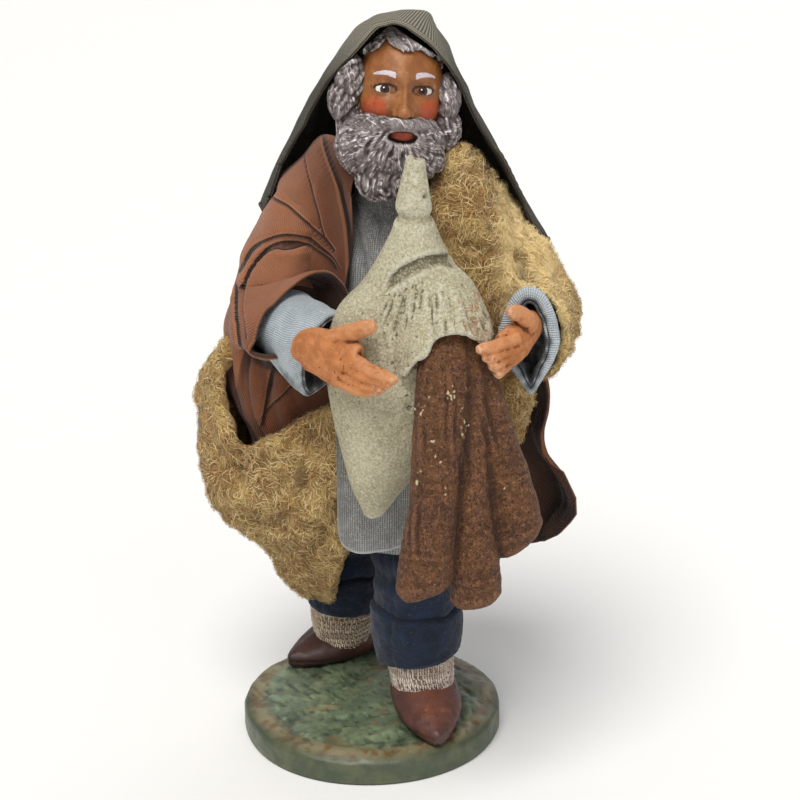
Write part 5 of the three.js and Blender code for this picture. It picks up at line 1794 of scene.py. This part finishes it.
# The clay masses that carry the locks: middle, half sizes, how many locks, how long and thick
# they are, the way they fall and how much they wander.
beardSet = {
    "beard": [(5.6, -12.4, 159.6), (13.2, 8.8, 9.2), 760, (4, 8), (0.34, 0.62), (0, 0, -1), 0.75],
    "others": [
        [(2.9, -14.8, 151.4), (5.6, 5.4, 4.8), 90, (3.5, 6), (0.34, 0.6), (0.2, 0, -1), 0.8],
        [(9.4, -15.0, 151.2), (4.9, 5.2, 4.4), 76, (3.5, 6), (0.34, 0.6), (-0.2, 0, -1), 0.8],
        [(15.2, -12.4, 156.6), (3.8, 5.0, 4.6), 60, (3.5, 6), (0.34, 0.6), (0.1, 0, -1), 0.8],
        [(-3.8, -8.4, 176.4), (3.7, 4.8, 5.6), 80, (5, 9), (0.4, 0.8), (-0.75, -0.1, -0.8), 0.35],
        [(-5.6, -7.8, 170.6), (3.7, 4.8, 5.2), 70, (5, 8.5), (0.4, 0.8), (-0.5, -0.1, -0.9), 0.45],
        [(-4.0, -7.4, 164.4), (3.4, 4.8, 5.4), 64, (4.5, 8), (0.38, 0.75), (0.15, -0.1, -1), 0.45],
        [(20.0, -7.0, 171.2), (2.9, 4.6, 6.0), 66, (4, 7), (0.38, 0.75), (0.4, -0.1, -1), 0.5],
        [(19.8, -7.0, 163.4), (3.3, 4.6, 5.2), 60, (4, 7), (0.38, 0.75), (0.1, -0.1, -1), 0.5],
    ],
    "mouth": (7.4, -21.0, 164.0), "voxel": 0.35,
}


def lockThick(thick, stations=8):
    t = np.linspace(0, 1, stations)
    thick = np.atleast_1d(thick)[:, None]
    return thick * (0.5 + 0.6 * np.sin(np.pi * (0.12 + 0.7 * t))) * (1 - 0.7 * t**2)


# Locks combed over an egg of clay: each keeps to the surface and bends with its neighbours.
def combed(mass, rng, spread=None, stations=8):
    middle, half, count, long, thick, fall, wander = mass
    middle, half = np.array(middle), np.array(half)
    way = unit(rng.normal(size=(count * 4, 3)))
    way = way[(way[:, 1] < 0.3) & (way[:, 2] < 0.85)][:count]
    spot = middle + way * half
    count = len(spot)
    step = rng.uniform(*long, (count, 1)) / (stations - 1)
    bend = rng.normal(0, 0.14, (count, 1))
    lines = []
    for i in range(stations):
        out = unit((spot - middle) / half**2)
        lift = 0.1 + 0.42 * math.sin(math.pi * i / (stations - 1)) - 0.45 * (i / (stations - 1)) ** 2
        lines.append(spot + out * lift)
        go = np.array(fall, float) + (0 if spread is None else spread(spot))
        side = np.cross(out, unit(go))
        go = go + side * (wander * lumps(spot, 3.6, 113)[:, None] + bend * i)
        go = unit(go - out * (go * out).sum(axis=1, keepdims=True))
        spot = middle + unit((spot + go * step - middle) / half) * half
    return list(np.stack(lines, axis=1)), list(lockThick(rng.uniform(*thick, count)))


# The beard's locks part round the mouth before they fall.
def fromMouth(spot):
    away = (spot - np.array(beardSet["mouth"])) * (1, 0, 0.6)
    near = ramp(np.hypot(away[:, 0], away[:, 2]), 13, 3)[:, None]
    return unit(away) * (0.45 + 0.9 * near)


def moustacheLine(a, high=0.0):
    return -6.7 + high - 0.032 * a**2


def makeMoustache(rng):
    bases, lines, thicks = [], [], []
    for sign in (-1, 1):
        a = np.linspace(-0.9, 9.3, 18)
        middle = facePoint(sign * a, moustacheLine(a), 2.7 - 0.1 * a)
        swell = 1.5 * np.sin(np.pi * (0.32 + 0.6 * a / 9.3)) + 0.3
        bases.append(bodyOf("moustache", tubeRows(middle, swell, 16)))
        for i in range(34):
            start = rng.uniform(-0.3, 5.4)
            high = rng.uniform(-1.4, 1.4)
            t = np.linspace(0, 1, 8)
            a = start + rng.uniform(2.8, 4.6) * t
            lift = 2.7 - 0.1 * a + 1.35 * math.cos(high * 1.1) + rng.uniform(-0.1, 0.2)
            narrow = 1 - 0.35 * ramp(a, 5, 9)
            up = moustacheLine(a, high * narrow) + 0.2 * np.sin(t * 6 + i)
            lines.append(facePoint(np.clip(sign * a, -9.9, 9.9), up, lift))
            thicks.append(lockThick(rng.uniform(0.3, 0.5))[0])
    return bases, lines, thicks


# Where the hair ends on the forehead, in the head's own a and b.
def fringeLine(a):
    return 12.7 - 0.035 * (a + 1.5) ** 2 + 0.35 * np.sin(a * 1.1)


def makeFringe(rng):
    cap = sphere(80, 60)
    local = points(cap) * np.array(headSet["half"])
    above = ramp(local[:, 2] - fringeLine(local[:, 0]), -0.5, 0.7)
    local *= (0.88 + 0.185 * above)[:, None]
    setPoints(cap, fromHead(local))
    lines, thicks = [], []
    for row, count in ((5.2, 24), (3.9, 30), (2.7, 34), (1.5, 38), (0.6, 38)):
        for i in range(count):
            a = -9.4 + 18.8 * i / (count - 1) + rng.uniform(-0.4, 0.4)
            b = fringeLine(a) + row + rng.uniform(-0.4, 0.3)
            way = np.array((0.8, -0.75)) if a > -5 else np.array((-0.6, -0.9))
            long = rng.uniform(2.2, 3.8)
            t = np.linspace(0, 1, 8)
            alongA = np.clip(a + way[0] * long * t + 0.2 * np.sin(t * 5 + i), -9.9, 9.9)
            lift = 1.1 + 0.5 * np.sin(np.pi * t) - 0.6 * t**2
            lines.append(facePoint(alongA, np.minimum(b + way[1] * long * t, 16.4), lift))
            thicks.append(lockThick(rng.uniform(0.4, 0.65))[0])
    return [cap], lines, thicks


def lump(middle, half):
    ball = sphere(48, 32)
    setPoints(ball, points(ball) * np.array(half) + np.array(middle))
    return ball


# Presses the beard back round the lower lip.
def clearMouth(p):
    local = toHead(p)
    away = np.hypot(local[:, 0] / 3.8, (local[:, 2] + 9.8) / 1.55)
    wall = -13.9 - 4.0 * ramp(away, 0.8, 1.3)
    pressed = np.maximum(local[:, 1], wall)
    local[:, 1] = np.where((away < 1.3) & (local[:, 1] < -10), pressed, local[:, 1])
    return fromHead(local)


def hairPaint():
    paint = Paint("greyPaintedHair", Specular_IOR_Level=0.4)
    runs = []
    for name in ("strand", "hair"):
        along = [paint.value(name + "Across"), paint.value(name + "Along"), 0.0]
        run = paint.node("ShaderNodeCombineXYZ", {}, along)
        runs.append(paint.noise(0.42, 3, 0.6, 0.5, spot=run))
    hairs = runs[0] + (runs[1] - runs[0]) * paint.value("upper")
    patchy = paint.band(paint.noise(1.3, 3, 0.6), 0.4, 0.6)
    crest = paint.band(paint.value("relief"), -0.03, 0.05)
    paint.ground((4.5, 3, 0.6), 0.34, 0.66, "#6f6663", "#8d8381")
    paint.coats(
        ("relief", 0.02, -0.05, 0.8, "#4a403e"),
        ("relief", -0.05, -0.14, 0.85, "#211b1a"),
        (hairs, 0.48, 0.38, 0.75, "#2a2223"),
        ("relief", 0.03, 0.1, patchy * 0.5 + 0.15, "#bfb4b4"),
        (hairs, 0.54, 0.6, crest * (patchy * 0.6 + 0.4), "#f3ecec"),
        ((2.2, 3, 0.6), 0.56, 0.7, 0.45, "#7d5f54"),
    )
    return paint.finish(0.5, hairs, 0.28)


def makeHair():
    rng = np.random.default_rng(17)
    s = beardSet
    bases = [lump(*part[:2]) for part in (s["beard"], *s["others"])]
    bases += [lump((8.4, -1.6, 178), (11.2, 12.2, 11.8))]
    lines, thicks = combed(s["beard"], rng, fromMouth)
    for part in s["others"]:
        more, widths = combed(part, rng)
        lines += more
        thicks += widths
    for source in (makeMoustache, makeFringe):
        solids, more, widths = source(rng)
        bases += solids
        lines += more
        thicks += widths
    locks = manyTubes("locks", np.array(lines), np.array(thicks), 7)
    piece = fused("clayHair", bases + [locks], s["voxel"], 1)
    setPoints(piece, clearMouth(underHood(points(piece), 0.9)))
    p = points(piece)
    mouth = np.array(s["mouth"])[[0, 2]]
    x, y, z = p.T
    flat = p[:, [0, 2]] - mouth
    theta, reach = np.arctan2(flat[:, 0], -flat[:, 1]), np.hypot(*flat.T)
    upper = ramp(z, mouth[1] - 1, mouth[1] + 3)
    wander = (roughness(p, 3, 2, 111) * 0.8)[:, None]
    fanned = np.stack([theta * 9, reach * 0.17, y * 0.35], -1) + wander
    hung = np.stack([x + z * 0.3 + y * 0.7, z * 0.14, y * 0.2], -1) + wander
    cut = (0.8, 0.7, 1)
    carved = lumps(fanned, cut, 112) * (1 - upper) + lumps(hung, cut, 112) * upper
    p += normals(piece) * (carved * 0.12)[:, None]
    setPoints(piece, p)
    markRelief(piece, 7)
    setValue(piece, "upper", upper)
    for name, spread in (("strand", fanned), ("hair", hung)):
        setValue(piece, name + "Across", spread[:, 0])
        setValue(piece, name + "Along", spread[:, 1])
    toMetres(piece, None, hairPaint())


makeHair()


fleeceSet = {
    "girth": [
        [27, -8.5, 15, 9, 13], [34, -8, 12.5, 18.5, 18], [46.5, -6, 9, 27, 22.4],
        [55.5, -5.5, 7.2, 36.8, 25],
        [63, -2.5, 6, 43.6, 27], [80, 1.2, 5, 49.2, 27.6], [96, 1.9, 4.8, 47, 27.6],
        [103, 4, 4.6, 43.6, 27.2],
        [125, 5, 4, 39, 25.4], [140, 6, 3.2, 33.6, 22.6], [152, 6, 1, 26.4, 17.4],
        [160, 6, -1.4, 19, 13],
    ],
    "edges": [
        [259, 38, 94], [254, 34, 91.6], [248, 30, 89], [236, 27, 82], [226, 27, 78.5], [216, 28, 80],
        [206, 29, 86],
        [190, 31.5, 99], [165, 36, 112], [135, 43, 122], [90, 58, 130], [55, 72, 137], [25, 88, 148],
        [0, 97, 155],
        [-22, 97, 154], [-31, 86, 152], [-38, 80.5, 151], [-52, 79, 149], [-62, 82, 146],
    ],
    "sleeve": [
        [27, 0, 138, 9, 9.5], [37, -1, 127.5, 11, 11], [43.4, -3, 116.5, 11.8, 11.4],
        [43.4, -12, 114, 11.4, 11],
        [42.2, -24, 114.6, 9.8, 11.6], [41.2, -30.2, 115, 9.2, 12.4],
    ],
    "chest": [
        [21, -4, 156, 5, 5.6], [24, -9.4, 147, 8.4, 7.2], [28, -13.4, 132, 10.6, 7.4],
        [31, -14.4, 116, 10.4, 7.4],
        [34.6, -13.6, 100, 8.4, 6.4], [37, -12, 88, 6, 4.4],
    ],
    # creases seen from the front: points [x, z], depth and reach
    "creases": [
        ([[-32.9, 84], [-34.7, 77], [-35.7, 69.8], [-35.6, 63]], 1.7, 2.6),
        ([[-15.6, 86], [-17.8, 75.6], [-20.1, 67], [-22.9, 61.3], [-27.9, 57.4], [-34, 56]], 1.7, 3.2),
        ([[-40, 98], [-43, 88], [-44, 78]], 0.9, 1.8),
        ([[-11, 60], [-15, 50], [-20, 42]], 1.3, 2.2),
        ([[22, 138], [30, 134.5], [39, 131.5], [47, 126]], 1.6, 2.0),
        ([[17, 152], [22, 141], [24, 128], [27, 118]], 1.1, 2.0),
        ([[33, 150], [32, 142], [36, 134]], 1.2, 1.8),
    ],
    "thick": 3.4, "voxel": 1.0, "strands": 26500, "stray": 210,
    # how far the edge by the shirt is drawn aside at each height
    "aside": [[36, 0], [41, 2.4], [47, 5], [52, 5.2], [57, 4.2], [63, 3.2], [70, 2.4], [80, 2],
              [95, 1]],
}


def fleeceFold(angle, height, _):
    broad = np.sin(angle * 0.087 + height * 0.06)
    fine = np.sin(angle * 0.15 - height * 0.09 + 2)
    return -2.4 + 0.8 * broad + 0.5 * fine


# The felted body of the sheepskin: the wrap with rolled rims, the sleeve and the chest's roll.
def makeSkin():
    s = fleeceSet
    turn = np.linspace(s["edges"][0][0], s["edges"][-1][0], 171)
    grid = hanging(s["girth"], s["edges"], turn, 60, fleeceFold)
    grid[..., 0] += readTable(s["aside"], grid[..., 2])[..., 0] * ramp(turn, 244, 258)
    wrap = sheetOf("wrap", grid)
    modify(wrap, "SOLIDIFY", thickness=s["thick"], offset=0)
    rims = []
    for row, size in ((grid[-1], 2.3), (grid[0], 1.9)):
        line = spline(row[::6], 200)
        swell = size * (1 + 0.25 * lumps(line, 6, 125))
        rims.append(bodyOf("rim", tubeRows(line, swell, 12)))
    sleeve = rings(s["sleeve"], 60, 12)
    axis = unit(sleeve[-1].mean(axis=0) - sleeve[-5].mean(axis=0))
    steps = ((1.0, 0.6), (2.0, -0.6), (2.4, -9))
    hollow = [inset(sleeve[-1], amount) + axis * forward for amount, forward in steps]
    arm = bodyOf("arm", np.concatenate([sleeve, hollow]))
    chest = bodyOf("chest", rings(s["chest"], 60, 10))
    skin = fused("fleeceSkin", [wrap, *rims, arm, chest], s["voxel"], 2)
    p = points(skin)
    push = roughness(p, 8, 3, 121) * 1.2 + np.abs(lumps(p, 3.6, 122)) * 1.25 - 0.5
    for line, depth, reach in s["creases"]:
        away, share = besideLine(p[:, [0, 2]], spline(line, 20))
        fade = slimEnds(share, 0.06, 0.94) ** 0.6
        push -= depth * hill(away, reach) * fade * ramp(p[:, 1], 2, -6)
    p += normals(skin) * push[:, None]
    # the hood lies on it at the back
    under = ramp(p[:, 2], 116, 123) * ramp(p[:, 1], 4, 14)
    p[:, :2] = (6, 4) + (p[:, :2] - (6, 4)) * (1 - 0.06 * under)[:, None]
    setPoints(skin, p)
    markRelief(skin, 26)
    return skin


# Points spread over a mesh's faces, with the outward way and the relief at each.
def scatter(piece, count, rng):
    mesh = piece.data
    mesh.calc_loop_triangles()
    corners = readData(mesh.loop_triangles, "vertices", 3, np.int32)
    p, n = points(piece), normals(piece)
    relief = valueOf(piece, "relief")
    a, b, c = (p[corners[:, i]] for i in range(3))
    area = np.linalg.norm(np.cross(b - a, c - a), axis=1)
    # the side against the body and under the pieces in front carries no wool
    centre = (a + b + c) / 3
    outward = (n[corners].mean(axis=1) * (centre - (6, 2, 0)) * (1, 1, 0)).sum(axis=1)
    area = area * (outward > -4)
    pick = rng.choice(len(corners), count, p=area / area.sum())
    u, v = rng.random((2, count, 1))
    flip = u + v > 1
    u, v = np.where(flip, 1 - u, u), np.where(flip, 1 - v, v)
    spot = a[pick] + u * (b - a)[pick] + v * (c - a)[pick]
    return spot, unit(n[corners[pick]].mean(axis=1)), relief[corners[pick]].mean(axis=1)


# Thin curled strips of wool in one mesh. Each lies flat on the skin.
def ribbons(name, lines, widths, facing):
    count, stations = lines.shape[:2]
    along = unit(np.gradient(lines, axis=1))
    across = unit(np.cross(along, facing[:, None, :]))
    half = widths[..., None] / 2
    coords = np.stack([lines - across * half, lines + across * half], axis=2).reshape(-1, 3)
    base = np.arange(count)[:, None] * stations * 2 + np.arange(stations - 1)[None] * 2
    quads = np.stack([base, base + 1, base + 3, base + 2], -1).reshape(-1, 4)
    return meshOf(name, coords, quads.tolist())


# The run of each strand: it follows its neighbours' drift, bends its own way and lies down again.
def strandLines(root, out, rng, long, lift, stations):
    count = len(root)
    clump = np.floor(root / 2.6 + rng.normal(0, 0.12, root.shape))
    drift = np.stack([lumps(root, 8, 131), lumps(root, 8, 132), lumps(root, 8, 133) - 0.35], -1)
    own = np.stack([hashed(clump, seed) for seed in (134, 135, 136)], -1)
    way = drift * 1.2 + own * 0.5 + rng.normal(0, 0.24, root.shape)
    way = unit(way - out * (way * out).sum(axis=1, keepdims=True))
    side = np.cross(out, way)
    t = np.linspace(0, 1, stations)[None, :, None]
    phase = rng.uniform(0, 2 * np.pi, (count, 1, 1))
    bend = rng.normal(0, 0.4, (count, 1, 1)) * long[:, None, None]
    curl = rng.uniform(0.1, 0.45, (count, 1, 1))
    rise = lift[:, None, None] * np.sin(np.pi * t) ** 0.8 - 0.3 * (1 - t) ** 2 + 0.1
    line = root[:, None] + way[:, None] * long[:, None, None] * t
    line = line + side[:, None] * (bend * t**2 + curl * np.sin(t * 2.4 * np.pi + phase))
    return line, rise[..., 0]


# Lays every station of the strands on the skin, as high over it as it should be.
def layDown(tree, line, rise):
    spots = [tree.find_nearest(spot) for spot in line.reshape(-1, 3).tolist()]
    on = np.array([found[0] for found in spots]).reshape(line.shape)
    out = np.array([found[1] for found in spots]).reshape(line.shape)
    return on + out * rise[..., None], unit(out.mean(axis=1))


def woolPaint(name, felt):
    paint = Paint(name, Sheen_Weight=0.08, Sheen_Roughness=0.6)
    x, _, z = paint.axes()
    # painted sunlight on the shoulder
    paintedSunlight = paint.band(x, 30, 37) * paint.band(x, 55, 46) * paint.band(z, 116, 130)
    paint.ground((9, 4, 0.6, 0.4), 0.36, 0.64, "#a0763c", "#ccaa66")
    paint.coats(
        ((3.2, 3, 0.6), 0.46, 0.68, 0.5, "#d6b97c"),
        ((13, 3, 0.5), 0.5, 0.64, 0.5, "#9c6c30"),
        (paintedSunlight, None, None, 0.95, "#ffe2a0"),
    )
    if felt:
        # matted fibres that run in different ways from patch to patch
        upright = paint.noise(0.55, 4, 0.7, 1.4, (1, 1, 0.22))
        level = paint.noise(0.55, 4, 0.7, 1.4, (0.25, 0.4, 1))
        share = paint.band(paint.noise(5, 2, 0.5), 0.42, 0.58)
        fibres = upright + (level - upright) * share
        paint.coats(
            (fibres, 0.54, 0.38, 0.85 - paintedSunlight * 0.6, "#553716"),
            (fibres, 0.54, 0.66, 0.6, "#e3c78c"),
            # painted shade in the felt's valleys
            ("relief", 0.1, -1.0, 0.6, "#5e401c"),
        )
        return paint.finish(0.9, fibres, 0.9)
    paint.coats(
        ("own", 0.5, 0.9, 0.75, "#f0dba8"),
        ("own", 0.45, 0.0, 0.6, "#6e4a1e"),
        # painted shade on strands rooted in valleys, painted light on those on crests
        ("relief", 0.1, -1.0, 0.65, "#65451e"),
        ("relief", 0.1, 0.8, 0.35, "#e2c584"),
    )
    return paint.finish(0.85)


def makeWool(skin, rng):
    s = fleeceSet
    material = woolPaint("wool", False)
    root, out, relief = scatter(skin, s["strands"], rng)
    faces = [list(face.vertices) for face in skin.data.polygons]
    tree = BVHTree.FromPolygons(points(skin).tolist(), faces)
    upper = root[:, 2] > 90
    stray = scatter(skin, s["stray"] * 2, rng)
    # long stray fibres lie mostly on the shoulder
    chosen = np.argsort(-stray[0][:, 2] + rng.uniform(0, 90, len(stray[0])))[: s["stray"]]
    stray = [part[chosen] for part in stray]
    groups = (
        ("woolUpper", (root[upper], out[upper], relief[upper]), 4, (1.8, 4.2), (0.1, 0.9), 0.17),
        ("woolLower", (root[~upper], out[~upper], relief[~upper]), 4, (1.8, 4.2), (0.1, 0.9), 0.17),
        ("woolStray", stray, 14, (7, 14), (0.3, 1.3), 0.14),
    )
    for name, (spots, ways, heights), stations, longs, lifts, wide in groups:
        count = len(spots)
        long, lift = rng.uniform(*longs, count), rng.uniform(*lifts, count)
        lines, rise = strandLines(spots, ways, rng, long, lift, stations)
        lines, ways = layDown(tree, lines, rise)
        t = np.linspace(0, 1, stations)[None]
        taper = 0.35 + 0.65 * np.sin(np.pi * (0.2 + 0.75 * t))
        widths = wide * rng.uniform(0.6, 1.2, (count, 1)) * taper
        piece = ribbons(name, lines, widths, unit(ways + rng.normal(0, 0.12, ways.shape)))
        setValue(piece, "relief", np.repeat(heights, stations * 2))
        setValue(piece, "own", np.repeat(rng.random(count), stations * 2))
        toMetres(piece, None, material)


def makeFleece():
    skin = makeSkin()
    makeWool(skin, np.random.default_rng(23))
    toMetres(skin, "fleece", woolPaint("feltedWool", True))


makeFleece()
